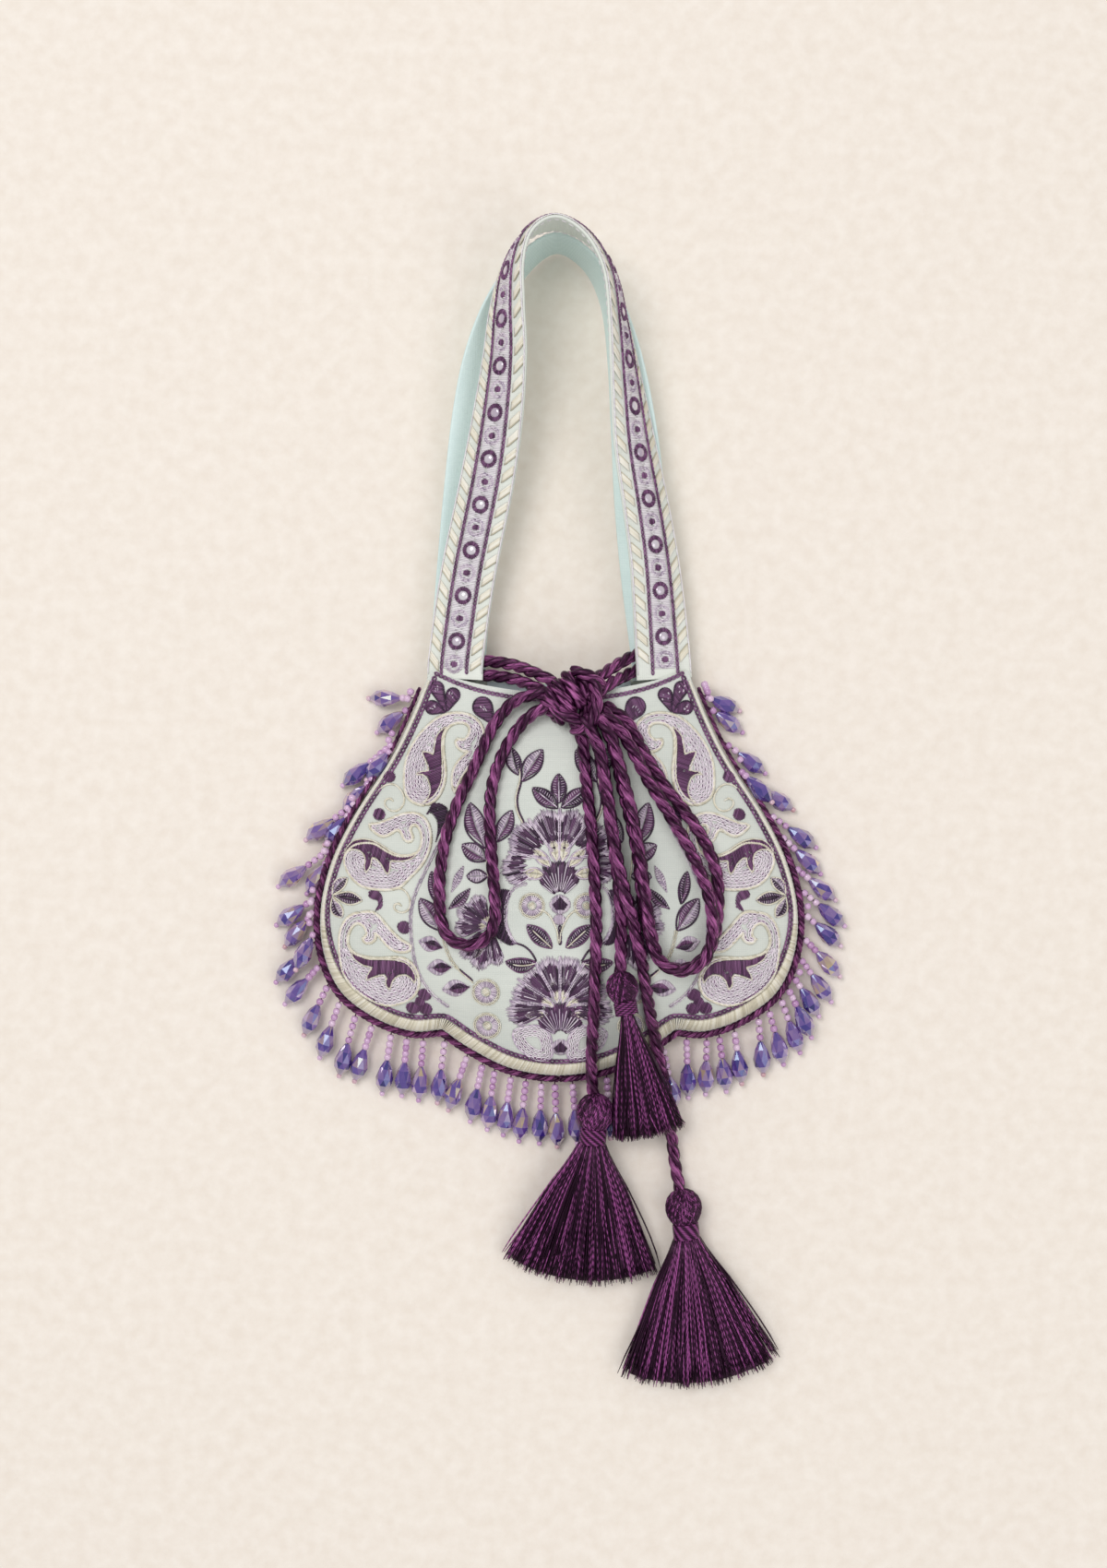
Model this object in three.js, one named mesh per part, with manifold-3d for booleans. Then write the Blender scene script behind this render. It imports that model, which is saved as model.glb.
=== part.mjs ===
// Embroidered silk drawstring bag with a glass bead fringe, lying on its back.
// Millimetres: +X to the right of the front, +Y towards the handles, +Z up from the table.
// The origin is the middle of the back panel, where the bag rests.
import * as THREE from "three";
import { mergeVertices } from "three/addons/utils/BufferGeometryUtils.js";
import Module from "manifold-3d";

const wasm = await Module();
wasm.setup();
const { lerp, smoothstep, degToRad } = THREE.MathUtils;

// General sizes
const GAP = 0.3;
const WALL = 1.8;
const MOUTH_HALF = 53;
const MOUTH_Y = 83;
const FRONT_DIP = 9.5;
const BACK_DIP = 5;

// Filling of the pouch: the seam height, the rise of the front and the roll of its edges
const SEAM_Z = 7;
const LOFT = 24;
const MOUTH_LOFT = 7;
const FRONT_ROLL = 55;
const BACK_ROLL = 22;
const MOUTH_OPEN = 4.5;
const MOUTH_START_Y = 50;
const FOLD_HEIGHT = 0.9;
const FOLD_PITCH = 25;

// Fringe: header cord, bead strings and cut drops, which are widest at a share of their length
const HEADER_R = 1.5;
const HEADER_END_Y = 76.5;
const STRING_R = 1.2;
const DROP_R = 3.7;
const DROP_LENGTH = 13.4;
const DROP_WIDEST = 0.61;
const DROP_FOOT_R = 1.2;
const END_BEAD = 2;
const TABLE_CLEAR = 0.2;

// Straps, drawcord and tassels
const STRAP_WIDTH = 23.5;
const STRAP_THICK = 1.8;
const TRIM_WIDTH = 10.5;
const TRIM_THICK = 0.8;
const TRIM_CLEAR = 1.2;
const FRONT_STRAP_STEPS = 42;
const CORD_R = 2.6;

// Right edge from the mouth corner down to the cusp between the scallops: x, y
const SIDE_EDGE = [
  [MOUTH_HALF, MOUTH_Y],
  [61, 64],
  [70, 46],
  [84, 24.5],
  [94, 4.5],
  [98.8, -16],
  [97.3, -35],
  [90, -50.5],
  [76, -61],
  [61, -66.3],
  [48.4, -65.6],
];

// Middle scallop from the right cusp to the left one: x, y
const SCALLOP_EDGE = [
  [48.4, -65.6],
  [37, -73.4],
  [20, -81.7],
  [0, -84.7],
  [-20, -81.7],
  [-37, -73.4],
  [-48.4, -65.6],
];

// Strands of the fringe, down the side and along the bottom: x, y where a strand leaves the header
// cord, x, y of its drop's foot, and how far the drop lies above the table where it crosses another
const STRANDS_LEFT = [
  [-61.3, 72.3, -78.6, 71.9],
  [-62.5, 69.8, -75.3, 58.2],
  [-69.8, 56.4, -89.6, 36.1],
  [-70.5, 53, -79.6, 38.6, 2],
  [-76.7, 40.7, -89.6, 25.3],
  [-85.9, 32.3, -104.9, 13.3],
  [-85.9, 27.7, -97.2, 11.6],
  [-94.2, 11, -116.4, -6.2],
  [-95.8, 6.4, -104.8, -9],
  [-100.4, -10, -117.2, -22.3],
  [-100.4, -15.8, -113.9, -31.2],
  [-100.8, -22.9, -108.6, -40, 5.5],
  [-100.8, -28.3, -117.5, -46],
  [-99.1, -37.9, -113.8, -55.1],
  [-96.3, -46.3, -106.1, -67.9],
  [-91.9, -53.7, -99.6, -77.3],
  [-85.6, -59.8, -91.6, -84.9],
  [-77.9, -64.4, -85.1, -87.1],
  [-70.3, -67.2, -73.7, -92.2],
  [-63.5, -68.6, -65.6, -93.1],
  [-55.6, -70, -58.6, -95],
  [-49.4, -71.8, -50.7, -96.1],
  [-39.5, -77.8, -45.9, -99.2],
  [-32.6, -80.8, -36.9, -103.9],
  [-27.3, -82.9, -29.9, -107.2],
  [-19.8, -85.6, -23.2, -109.5],
  [-14.2, -87.3, -16.6, -112.1],
  [-7.3, -88, -8.2, -113],
  [-1.9, -88, -0.8, -114.4],
];
const STRANDS_RIGHT = [
  [58.3, 73.2, 74.6, 67],
  [60.5, 69.2, 75.9, 58.2],
  [67.7, 53.9, 85.3, 41.1],
  [76, 44.1, 87.6, 29.2, 5],
  [80.2, 40.3, 97, 25.8],
  [87.2, 25.3, 106.5, 10.1],
  [92, 17.3, 108.5, -0.8],
  [98.5, 3.1, 114.7, -11.8],
  [100.7, -7.1, 118.5, -22.6],
  [100.7, -15.9, 116.9, -30.9],
  [101.8, -25.9, 116.6, -43.6],
  [100.7, -34.8, 113.1, -54.1],
  [99.1, -42.8, 108, -60.1],
  [96.9, -47.7, 104.7, -68.6, 2],
  [92.8, -52.9, 100.3, -75.2],
  [87.9, -57.8, 93.5, -80.1],
  [84, -61.3, 85.2, -84.3],
  [73.9, -65.9, 76.2, -88.1],
  [67.4, -67.8, 69.7, -91.4],
  [60.9, -69.4, 61.2, -92.5],
  [52.2, -71.3, 53.9, -93.9],
  [45.6, -75.2, 48.3, -98.6],
  [39.9, -78.9, 41.7, -103.1],
  [33.6, -81.8, 35.4, -106.4],
  [26.9, -84.1, 28.5, -108.9],
  [20, -85.8, 21.4, -110.8],
  [13.1, -87.4, 14.4, -112.3],
  [6, -88, 7.6, -113],
];

// Front strap from its left foot over the arch to its right foot: x, y, z, roll in degrees
const FRONT_STRAP = [
  [-43, 79.5, 12.6, 11],
  [-42.3, 90, 13, 11],
  [-37.5, 122, 15.5, 12],
  [-29.5, 160, 20.5, 17],
  [-25, 186, 24.5, 28],
  [-22, 210, 29, 41],
  [-21, 228, 33, 53],
  [-18.5, 245, 36, 68],
  [-12, 257, 37, 82],
  [-1, 261.5, 37, 89],
  [11.5, 255, 37, 84],
  [20, 241, 37, 78],
  [24, 221, 34.5, 69],
  [27.5, 197, 29.5, 55],
  [31, 173, 25.5, 42],
  [35.5, 149, 22, 35],
  [39.5, 124, 17.5, 28],
  [42.6, 92, 14, 15],
  [43.5, 79.5, 12.2, 12],
];

// Back strap below it, plain side up: x, y, z, roll in degrees
const BACK_STRAP = [
  [-42, 79.5, 5.2, -12],
  [-42, 90, 5, -13],
  [-39.5, 124, 4.8, -16],
  [-36.5, 162, 6.5, -25],
  [-34, 190, 8.7, -36],
  [-31, 213, 11, -52],
  [-25, 234, 12.2, -68],
  [-15.5, 250, 12.6, -80],
  [-1.5, 259.5, 12.8, -84],
  [12, 252, 12.8, -82],
  [21, 236, 12.5, -74],
  [27, 212, 11.4, -57],
  [31, 182, 9.4, -40],
  [33.5, 155, 7.4, -29],
  [37, 124, 5.5, -19],
  [41.5, 90, 5, -13],
  [42, 79.5, 5.2, -12],
];

// Cords as x, y and the rise above what the stretch lies on: the table, or the bag where it is below
const CORDS = {
  drawcord_left_upper: {
    onTable: true,
    steps: 6,
    rows: [
      [-43, 87.3, 6.4],
      [-36, 87.2, 6.8],
      [-27, 86.6, 9.5],
      [-18, 84.8, 14.5],
      [-9, 81, 21],
      [-1, 77, 25],
    ],
  },
  drawcord_left_lower: {
    onTable: true,
    steps: 6,
    rows: [
      [-41.5, 81.2, 6.3],
      [-36, 81.3, 6.6],
      [-27, 80.8, 9],
      [-18, 79, 14],
      [-10, 75.6, 21],
      [-1, 71, 25],
    ],
  },
  drawcord_right_upper: {
    onTable: true,
    steps: 6,
    rows: [
      [44, 94.4, 7],
      [38, 92.2, 7.2],
      [32, 89.8, 9.3],
      [24, 85.2, 15.5],
      [12, 77, 25],
    ],
  },
  drawcord_right_lower: {
    onTable: true,
    steps: 6,
    rows: [
      [44, 87.5, 6.55],
      [40, 86.3, 6.55],
      [33.5, 84, 7.3],
      [27, 80.6, 13],
      [20.5, 76.8, 21.5],
      [13, 70.5, 25.5],
    ],
  },
  bow_loop_left: {
    steps: 20,
    rows: [
      [-5, 73, 7.5],
      [-14, 71.5, 4.5],
      [-19.8, 68.6, 1.5],
      [-25, 62.5, 0.8],
      [-29, 55.5, 0.8],
      [-34.5, 43, 0.8],
      [-41.5, 27.5, 0.8],
      [-46, 13.5, 0.8],
      [-48, 0, 0.8],
      [-48.2, -9.5, 0.8],
      [-47.7, -18.1, 0.8],
      [-44.5, -25.8, 0.8],
      [-36.8, -29, 0.8],
      [-29.1, -25.8, 0.8],
      [-25.9, -18.1, 0.8],
      [-26.1, -7, 0.8],
      [-27.2, 7.5, 0.8],
      [-28, 22.5, 0.8],
      [-27.3, 34.5, 0.8],
      [-24, 46, 0.8],
      [-18, 57, 1],
      [-11.5, 64, 3.5],
      [-4, 68, 7],
    ],
  },
  bow_loop_right_upper: {
    steps: 20,
    rows: [
      [17, 66.5, 7.5],
      [25, 57.5, 6.6],
      [30, 49, 6.2],
      [36, 37.5, 4.6],
      [44, 24.5, 3.4],
      [51.5, 11.5, 3.4],
      [57.5, -1, 4.6],
      [61, -13.5, 6.2],
      [61.4, -26.5, 6.6],
      [57.8, -35.4, 6.6],
      [49.4, -39.2, 6.6],
      [41, -35.4, 6.6],
      [37.4, -26.5, 6.6],
      [34.8, -12.5, 6.6],
      [32.8, 4, 6.6],
      [30, 20, 6.6],
      [26.8, 34, 6.6],
      [23.4, 47, 7],
      [20.8, 55.5, 8],
      [16, 64, 9],
    ],
  },
  bow_loop_right_lower: {
    steps: 20,
    rows: [
      [18, 68.6, 3],
      [27.5, 61.5, 1.2],
      [34, 50, 0.8],
      [42.8, 35.5, 0.8],
      [53.5, 21.5, 0.8],
      [60.5, 9.5, 0.8],
      [64, -2, 0.8],
      [64.2, -15, 0.8],
      [62.5, -26.5, 0.8],
      [57.8, -35, 0.8],
      [50, -39, 0.8],
      [41.4, -36, 0.8],
      [36.4, -24.5, 0.8],
      [33.4, -9.5, 0.8],
      [31.8, 6, 0.8],
      [28.8, 21, 0.8],
      [25.6, 34.5, 0.8],
      [23, 47, 0.8],
      [20.6, 55, 1],
      [16.5, 64, 2],
    ],
  },
  tail_middle: {
    steps: 13,
    rows: [
      [4, 65, 5],
      [9, 55, 0.8],
      [11, 36, 0.8],
      [13, 17, 0.8],
      [14.2, -2, 0.8],
      [14.9, -21, 0.8],
      [14.5, -40, 0.8],
      [14, -59, 1.4],
      [13.4, -75, 1.6],
      [13.6, -86.5, 11],
      [14.6, -95, 13],
    ],
  },
  tail_long: {
    steps: 17,
    rows: [
      [10, 64, 9],
      [14, 55, 7.6],
      [16.8, 47.5, 6.6],
      [19.8, 28.5, 6.6],
      [22, 12.5, 6.6],
      [25, -2, 6.6],
      [29, -17, 5.4],
      [33, -34, 1.4],
      [36, -51, 0.8],
      [39, -66, 1.5],
      [42, -80, 9.6],
      [44.8, -95, 9.4],
      [46.8, -110, 4],
      [48.6, -123.5, 2],
      [51, -136, 5],
    ],
  },
  tail_short: {
    steps: 8,
    rows: [
      [11.8, 62, 2],
      [15.6, 52, 0.8],
      [17.2, 44, 0.8],
      [20, 26, 0.8],
      [22.6, 6, 0.8],
      [24.6, -11.5, 0.8],
      [24.9, -25, 0.8],
      [24.6, -41, 3],
    ],
  },
};

// Tassels: head position, head radius, heading of the skirt from -Y, length and hem height
const TASSELS = {
  tassel_middle: { x: 14.8, y: -98.8, z: 15.8, r: 7.5, heading: -5, length: 74, fan: 26.5, hem: 4.8 },
  tassel_long: { x: 51.7, y: -139.5, z: 7.7, r: 7.4, heading: 6, length: 76, fan: 26.5, hem: 4.8 },
  tassel_short: { x: 25.2, y: -45.4, z: 37.5, r: 6.3, heading: 10.5, length: 66, fan: 13, hem: 13 },
};

const KNOT = { x: 1, y: 72, rise: 7 };

const COLOURS = {
  silk: { color: 0xced6ce, roughness: 0.55, metalness: 0 },
  lining: { color: 0xb9d4d4, roughness: 0.5, metalness: 0 },
  trim: { color: 0xb09cbe, roughness: 0.6, metalness: 0 },
  cord: { color: 0x64205f, roughness: 0.4, metalness: 0 },
  glass: { color: 0x4b3a8c, roughness: 0.12, metalness: 0 },
};

function vectors(rows) {
  return rows.map(([x, y, z = 0]) => new THREE.Vector3(x, y, z));
}

function curveThrough(points) {
  return new THREE.CatmullRomCurve3(points, false, "catmullrom", 0.5);
}

// Seam round the sides and the bottom, from the left mouth corner to the right one
const sideCurve = curveThrough(vectors(SIDE_EDGE));
const scallopCurve = curveThrough(vectors(SCALLOP_EDGE));

function seamPoints(sideSteps, scallopSteps) {
  const right = sideCurve.getSpacedPoints(sideSteps);
  const left = right.map(({ x, y }) => new THREE.Vector3(-x, y, 0));
  const scallop = scallopCurve.getSpacedPoints(scallopSteps).reverse();
  return [...left, ...scallop.slice(1), ...right.reverse().slice(1)];
}

const SEAM = seamPoints(160, 100);
const SEAM_PIECES = SEAM.slice(1).map((end, i) => ({
  middle: end.clone().add(SEAM[i]).multiplyScalar(0.5),
  length: end.distanceTo(SEAM[i]),
}));

// Smooth distance to the seam: exact beside a straight stretch, rounded where two sides compete
function seamDistance(x, y) {
  let sum = 0;
  for (const { middle, length } of SEAM_PIECES) {
    const square = (x - middle.x) ** 2 + (y - middle.y) ** 2;
    sum += length / Math.max(square, 0.01) ** 2;
  }
  return ((2 / Math.PI) * sum) ** (-1 / 3);
}

function swell(distance, roll) {
  return 1 - (1 - Math.min(distance / roll, 1)) ** 2;
}

function mouthShare(y) {
  return smoothstep(y, MOUTH_START_Y, MOUTH_Y);
}

// Outer face of the front
function frontZ(x, y) {
  const swollen = swell(seamDistance(x, y), FRONT_ROLL);
  const loft = lerp(LOFT, MOUTH_LOFT, smoothstep(y, 10, MOUTH_Y));
  const fold = FOLD_HEIGHT * Math.cos((2 * Math.PI * x) / FOLD_PITCH) * mouthShare(y);
  return SEAM_Z + GAP / 2 + WALL + MOUTH_OPEN * mouthShare(y) + (loft + fold) * swollen;
}

// Outer face of the back, flat on the table away from the seam
function backZ(x, y) {
  const rim = (SEAM_Z - GAP / 2 - WALL) * (1 - 0.6 * mouthShare(y));
  return rim * (1 - swell(seamDistance(x, y), BACK_ROLL));
}

function insideSeam(x, y) {
  let crossings = 0;
  for (let i = 1; i < SEAM.length; i += 1) {
    const a = SEAM[i - 1];
    const b = SEAM[i];
    if (a.y > y !== b.y > y && x < a.x + ((y - a.y) / (b.y - a.y)) * (b.x - a.x)) {
      crossings += 1;
    }
  }
  return crossings % 2 === 1;
}

// Closed surface from vertex positions and triangle corners
function surface(positions, triangles) {
  const geometry = new THREE.BufferGeometry();
  geometry.setAttribute("position", new THREE.Float32BufferAttribute(positions, 3));
  geometry.setIndex(triangles);
  return geometry;
}

function solid(geometry) {
  const bare = geometry.clone();
  bare.deleteAttribute("normal");
  bare.deleteAttribute("uv");
  const joined = mergeVertices(bare, 1e-4);
  const corners = [];
  for (let i = 0; i < joined.index.count; i += 3) {
    const [a, b, c] = [0, 1, 2].map((k) => joined.index.getX(i + k));
    if (a !== b && b !== c && c !== a) {
      corners.push(a, b, c);
    }
  }
  return new wasm.Manifold(
    new wasm.Mesh({
      numProp: 3,
      vertProperties: joined.attributes.position.array,
      triVerts: new Uint32Array(corners),
    }),
  );
}

function geometryOf(body) {
  const mesh = body.getMesh();
  const geometry = new THREE.BufferGeometry();
  geometry.setAttribute("position", new THREE.BufferAttribute(mesh.vertProperties, 3));
  geometry.setIndex(new THREE.BufferAttribute(mesh.triVerts, 1));
  return geometry;
}

// Wall between two height functions over an outline that runs counterclockwise
function wall(outline, centre, rings, upperZ, lowerZ) {
  const count = outline.length;
  const positions = [];
  for (const height of [upperZ, lowerZ]) {
    positions.push(centre.x, centre.y, height(centre.x, centre.y));
    for (const ring of rings) {
      for (const edge of outline) {
        const x = lerp(centre.x, edge.x, ring);
        const y = lerp(centre.y, edge.y, ring);
        positions.push(x, y, height(x, y));
      }
    }
  }
  const lower = 1 + rings.length * count;
  const triangles = [];
  for (let i = 0; i < count; i += 1) {
    const next = (i + 1) % count;
    triangles.push(0, 1 + i, 1 + next);
    triangles.push(lower, lower + 1 + next, lower + 1 + i);
    for (let ring = 1; ring < rings.length; ring += 1) {
      const inner = 1 + (ring - 1) * count;
      const outer = inner + count;
      triangles.push(inner + i, outer + i, outer + next, inner + i, outer + next, inner + next);
      triangles.push(lower + inner + i, lower + outer + next, lower + outer + i);
      triangles.push(lower + inner + i, lower + inner + next, lower + outer + next);
    }
    const rim = 1 + (rings.length - 1) * count;
    triangles.push(rim + i, lower + rim + i, lower + rim + next);
    triangles.push(rim + i, lower + rim + next, rim + next);
  }
  return surface(positions, triangles);
}

function mouthPoints(dip, steps) {
  const points = [];
  for (let i = 1; i < steps; i += 1) {
    const across = 1 - (2 * i) / steps;
    points.push(new THREE.Vector3(MOUTH_HALF * across, MOUTH_Y - dip * (1 - across ** 2), 0));
  }
  return points;
}

const PANEL_CENTRE = new THREE.Vector3(0, -4, 0);

function frontPanel() {
  const outline = [...seamPoints(19, 18), ...mouthPoints(FRONT_DIP, 12)];
  return wall(outline, PANEL_CENTRE, [0.4, 0.72, 0.91, 1], frontZ, (x, y) => frontZ(x, y) - WALL);
}

function backPanel() {
  const outline = [...seamPoints(13, 14), ...mouthPoints(BACK_DIP, 8)];
  return wall(outline, PANEL_CENTRE, [0.7, 0.88, 1], (x, y) => backZ(x, y) + WALL, backZ);
}

// Lining of the back, seen through the mouth
function mouthLining() {
  const half = 30;
  const depth = 26;
  const columns = 8;
  const outline = [];
  for (let i = 0; i <= columns; i += 1) {
    outline.push(new THREE.Vector3(-half + (2 * half * i) / columns, MOUTH_Y - BACK_DIP - depth, 0));
  }
  for (let i = columns; i >= 0; i -= 1) {
    const x = -half + (2 * half * i) / columns;
    outline.push(new THREE.Vector3(x, MOUTH_Y - BACK_DIP * (1 - (x / MOUTH_HALF) ** 2) - 0.6, 0));
  }
  const centre = new THREE.Vector3(0, MOUTH_Y - BACK_DIP - depth / 2, 0);
  const under = (x, y) => backZ(x, y) + WALL + GAP;
  return wall(outline, centre, [0.55, 1], (x, y) => under(x, y) + 1, under);
}

// Frame of a strap at a share of its rows: middle, across from outer to inner edge, face normal
function strapFrame(rows, share) {
  const path = curveThrough(vectors(rows));
  const rolls = curveThrough(rows.map((row) => new THREE.Vector3(row[3], 0, 0)));
  const roll = degToRad(rolls.getPoint(share).x);
  const along = path.getTangent(share);
  const inward = new THREE.Vector3(along.y, -along.x, 0).normalize();
  const up = new THREE.Vector3(0, 0, 1);
  return {
    middle: path.getPoint(share),
    across: inward.clone().multiplyScalar(Math.cos(roll)).addScaledVector(up, Math.sin(roll)),
    face: up.clone().multiplyScalar(Math.cos(roll)).addScaledVector(inward, -Math.sin(roll)),
  };
}

// Flat band that follows a strap, its middle raised off the strap's middle plane
function band(rows, { width, thick, raise, from, to, steps }) {
  const positions = [];
  const triangles = [];
  for (let i = 0; i <= steps; i += 1) {
    const { middle, across, face } = strapFrame(rows, lerp(from, to, i / steps));
    for (const [side, level] of [[-1, -1], [1, -1], [1, 1], [-1, 1]]) {
      const corner = middle.clone();
      corner.addScaledVector(across, (side * width) / 2);
      corner.addScaledVector(face, raise + (level * thick) / 2);
      positions.push(corner.x, corner.y, corner.z);
    }
  }
  for (let i = 0; i < steps; i += 1) {
    for (let k = 0; k < 4; k += 1) {
      const a = 4 * i + k;
      const b = 4 * i + ((k + 1) % 4);
      triangles.push(a, a + 4, b, b, a + 4, b + 4);
    }
  }
  const last = 4 * steps;
  triangles.push(0, 1, 2, 0, 2, 3, last, last + 2, last + 1, last, last + 3, last + 2);
  return surface(positions, triangles);
}

function strap(rows, steps) {
  return band(rows, { width: STRAP_WIDTH, thick: STRAP_THICK, raise: 0, from: 0, to: 1, steps });
}

// Embroidered ribbon along the middle of the front strap
function strapTrim() {
  const bare = 0.6 / FRONT_STRAP_STEPS;
  return band(FRONT_STRAP, {
    width: TRIM_WIDTH,
    thick: TRIM_THICK,
    raise: STRAP_THICK / 2 + TRIM_CLEAR + TRIM_THICK / 2,
    from: bare,
    to: 1 - bare,
    steps: FRONT_STRAP_STEPS,
  });
}

function tube(points, radius, steps, sides) {
  const section = [];
  for (let i = 0; i < sides; i += 1) {
    const angle = (2 * Math.PI * i) / sides;
    section.push(new THREE.Vector2(radius * Math.cos(angle), radius * Math.sin(angle)));
  }
  return new THREE.ExtrudeGeometry(new THREE.Shape(section), {
    steps,
    bevelEnabled: false,
    extrudePath: curveThrough(points),
  });
}

// One strand of the fringe along +Y: bead string, cut drop and end bead
function strandGeometry(string) {
  const profile = [
    [0, 0],
    [STRING_R, 0],
    [STRING_R, string],
    [DROP_R, string + DROP_WIDEST * DROP_LENGTH],
    [DROP_FOOT_R, string + DROP_LENGTH],
    [0, string + DROP_LENGTH + END_BEAD],
  ];
  return new THREE.LatheGeometry(profile.map(([r, y]) => new THREE.Vector2(r, y)), 6);
}

// Header cord beside the right half of the seam, from the middle of the bottom up to the mouth
function headerPoints() {
  const seam = seamPoints(120, 120);
  const half = seam.slice((seam.length - 1) / 2);
  const points = half.map((point, i) => {
    const before = half[Math.max(i - 1, 0)];
    const after = half[Math.min(i + 1, half.length - 1)];
    const along = after.clone().sub(before).normalize();
    const outward = new THREE.Vector3(along.y, -along.x, 0);
    const z = SEAM_Z + 0.5 * MOUTH_OPEN * mouthShare(point.y);
    return point.clone().addScaledVector(outward, HEADER_R + GAP).setZ(z);
  });
  points[0].set(GAP / 2, half[0].y - HEADER_R - GAP, SEAM_Z);
  return points.filter(({ y }) => y < HEADER_END_Y);
}

// Half of the fringe: side is -1 for the left and +1 for the right
function fringe(side, strands) {
  const header = headerPoints().map(({ x, y, z }) => new THREE.Vector3(side * x, y, z));
  const sparse = header.filter((_, i) => i % 4 === 0 || i === header.length - 1);
  let body = solid(tube(sparse, HEADER_R, 26, 6));
  for (const [x, y, footX, footY, lift = 0] of strands) {
    const wanted = new THREE.Vector3(x, y, SEAM_Z);
    const [anchor] = [...header].sort((a, b) => a.distanceTo(wanted) - b.distanceTo(wanted));
    const reach = Math.hypot(footX - anchor.x, footY - anchor.y);
    const widest = reach - (1 - DROP_WIDEST) * DROP_LENGTH;
    const fall = ((anchor.z - DROP_R - TABLE_CLEAR - lift) / widest) * reach;
    const line = new THREE.Vector3(footX - anchor.x, footY - anchor.y, -fall);
    const strand = strandGeometry(line.length() - DROP_LENGTH);
    const turn = new THREE.Quaternion().setFromUnitVectors(new THREE.Vector3(0, 1, 0), line.normalize());
    strand.applyQuaternion(turn);
    strand.translate(anchor.x, anchor.y, anchor.z);
    body = body.add(solid(strand));
  }
  return geometryOf(body);
}

// Knot of the bow: two lumps and the wraps over them, swollen by a clearance where it cuts a cord
function knotBody(grow) {
  const z = frontZ(KNOT.x, KNOT.y - 4) + KNOT.rise;
  const lump = (x, y, rise, size) => {
    const ball = new THREE.SphereGeometry(1, 10, 6);
    ball.scale(...size.map((half) => half + grow));
    ball.translate(KNOT.x + x, KNOT.y + y, z + rise);
    return solid(ball);
  };
  const wrap = (rows) => {
    const points = rows.map(([x, y, rise]) => new THREE.Vector3(KNOT.x + x, KNOT.y + y, z + rise));
    return solid(tube(points, CORD_R + grow, 6, 7));
  };
  return lump(0, 1, 0, [12.5, 8.5, 6])
    .add(lump(10.5, -8, 1, [9.5, 8.5, 6]))
    .add(wrap([[-9, 5, 0], [-4, 4, 5], [3, 0, 6.6], [9, -7, 6.4], [12, -14, 2]]))
    .add(wrap([[-3, -8, 0.5], [2, -4, 5.6], [4, 3, 6], [3, 9, 0.5]]));
}

// Tassel in its own frame: head at the origin, skirt towards -Y, upper side +Z
function tasselHead({ r }, grow) {
  const neck = 0.72 * r;
  const profile = [
    [0, -1.85 * r],
    [neck, -1.85 * r],
    [neck, -1.1 * r],
    [0.62 * r, -0.85 * r],
    [0.9 * r + grow, -0.5 * r],
    [r + grow, 0],
    [0.86 * r + grow, 0.52 * r],
    [0.45 * r + grow, 0.9 * r],
    [0, r + grow],
  ];
  return new THREE.LatheGeometry(profile.map(([x, y]) => new THREE.Vector2(x, y)), 12);
}

function tasselSkirt({ z, r, length, fan, hem }) {
  const sides = 18;
  const sections = [
    { share: 0, half: 0.62 * r },
    { share: 0.22, half: 0.74 * r },
    { share: 0.55, half: 0.72 * r },
    { share: 0.85, half: 0.66 * r },
    { share: 1, half: 0.56 * r },
  ];
  const positions = [];
  const triangles = [];
  for (const { share, half } of sections) {
    const reach = lerp(1.6 * r, length, share);
    const spread = degToRad(lerp(0.82 * fan, fan, Math.min(3 * share, 1)));
    for (let i = 0; i < sides; i += 1) {
      const angle = (2 * Math.PI * i) / sides;
      const lock = 1 + 0.06 * share * (i % 3 === 0 ? -1 : 1);
      const turn = spread * Math.cos(angle);
      const level = lerp(z, hem, share) - z;
      positions.push(
        reach * (share === 1 ? 0.97 + 0.03 * lock : 1) * Math.sin(turn),
        -reach * (share === 1 ? 0.94 + 0.06 * lock : 1) * Math.cos(turn),
        level + half * Math.sin(angle) * lock,
      );
    }
  }
  for (let k = 0; k + 1 < sections.length; k += 1) {
    for (let i = 0; i < sides; i += 1) {
      const a = k * sides + i;
      const b = k * sides + ((i + 1) % sides);
      triangles.push(a, b, a + sides, b, b + sides, a + sides);
    }
  }
  const last = (sections.length - 1) * sides;
  for (let i = 1; i + 1 < sides; i += 1) {
    triangles.push(0, i + 1, i, last, last + i, last + i + 1);
  }
  return surface(positions, triangles);
}

function placeTassel(geometry, { x, y, z, heading }) {
  geometry.rotateZ(degToRad(heading));
  geometry.translate(x, y, z);
  return geometry;
}

function tassel(sizes) {
  const head = solid(placeTassel(tasselHead(sizes, 0), sizes));
  return geometryOf(head.add(solid(placeTassel(tasselSkirt(sizes), sizes))));
}

// Cord along its rows, cut back where it enters the knot or a tassel head
function cord({ rows, steps, onTable }, cutters) {
  const points = rows.map(([x, y, rise]) => {
    const rest = !onTable && insideSeam(x, y) ? frontZ(x, y) : 0;
    return new THREE.Vector3(x, y, rest + CORD_R + rise);
  });
  const body = solid(tube(points, CORD_R, steps, 7));
  const free = cutters.reduce((left, cutter) => left.subtract(cutter), body);
  const stretches = free.decompose().sort((a, b) => b.volume() - a.volume());
  return geometryOf(stretches[0]);
}

const bag = new THREE.Group();
bag.name = "silk_bag";

function add(name, geometry, finish) {
  const mesh = new THREE.Mesh(geometry, new THREE.MeshStandardMaterial(COLOURS[finish]));
  mesh.name = name;
  bag.add(mesh);
}

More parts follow.
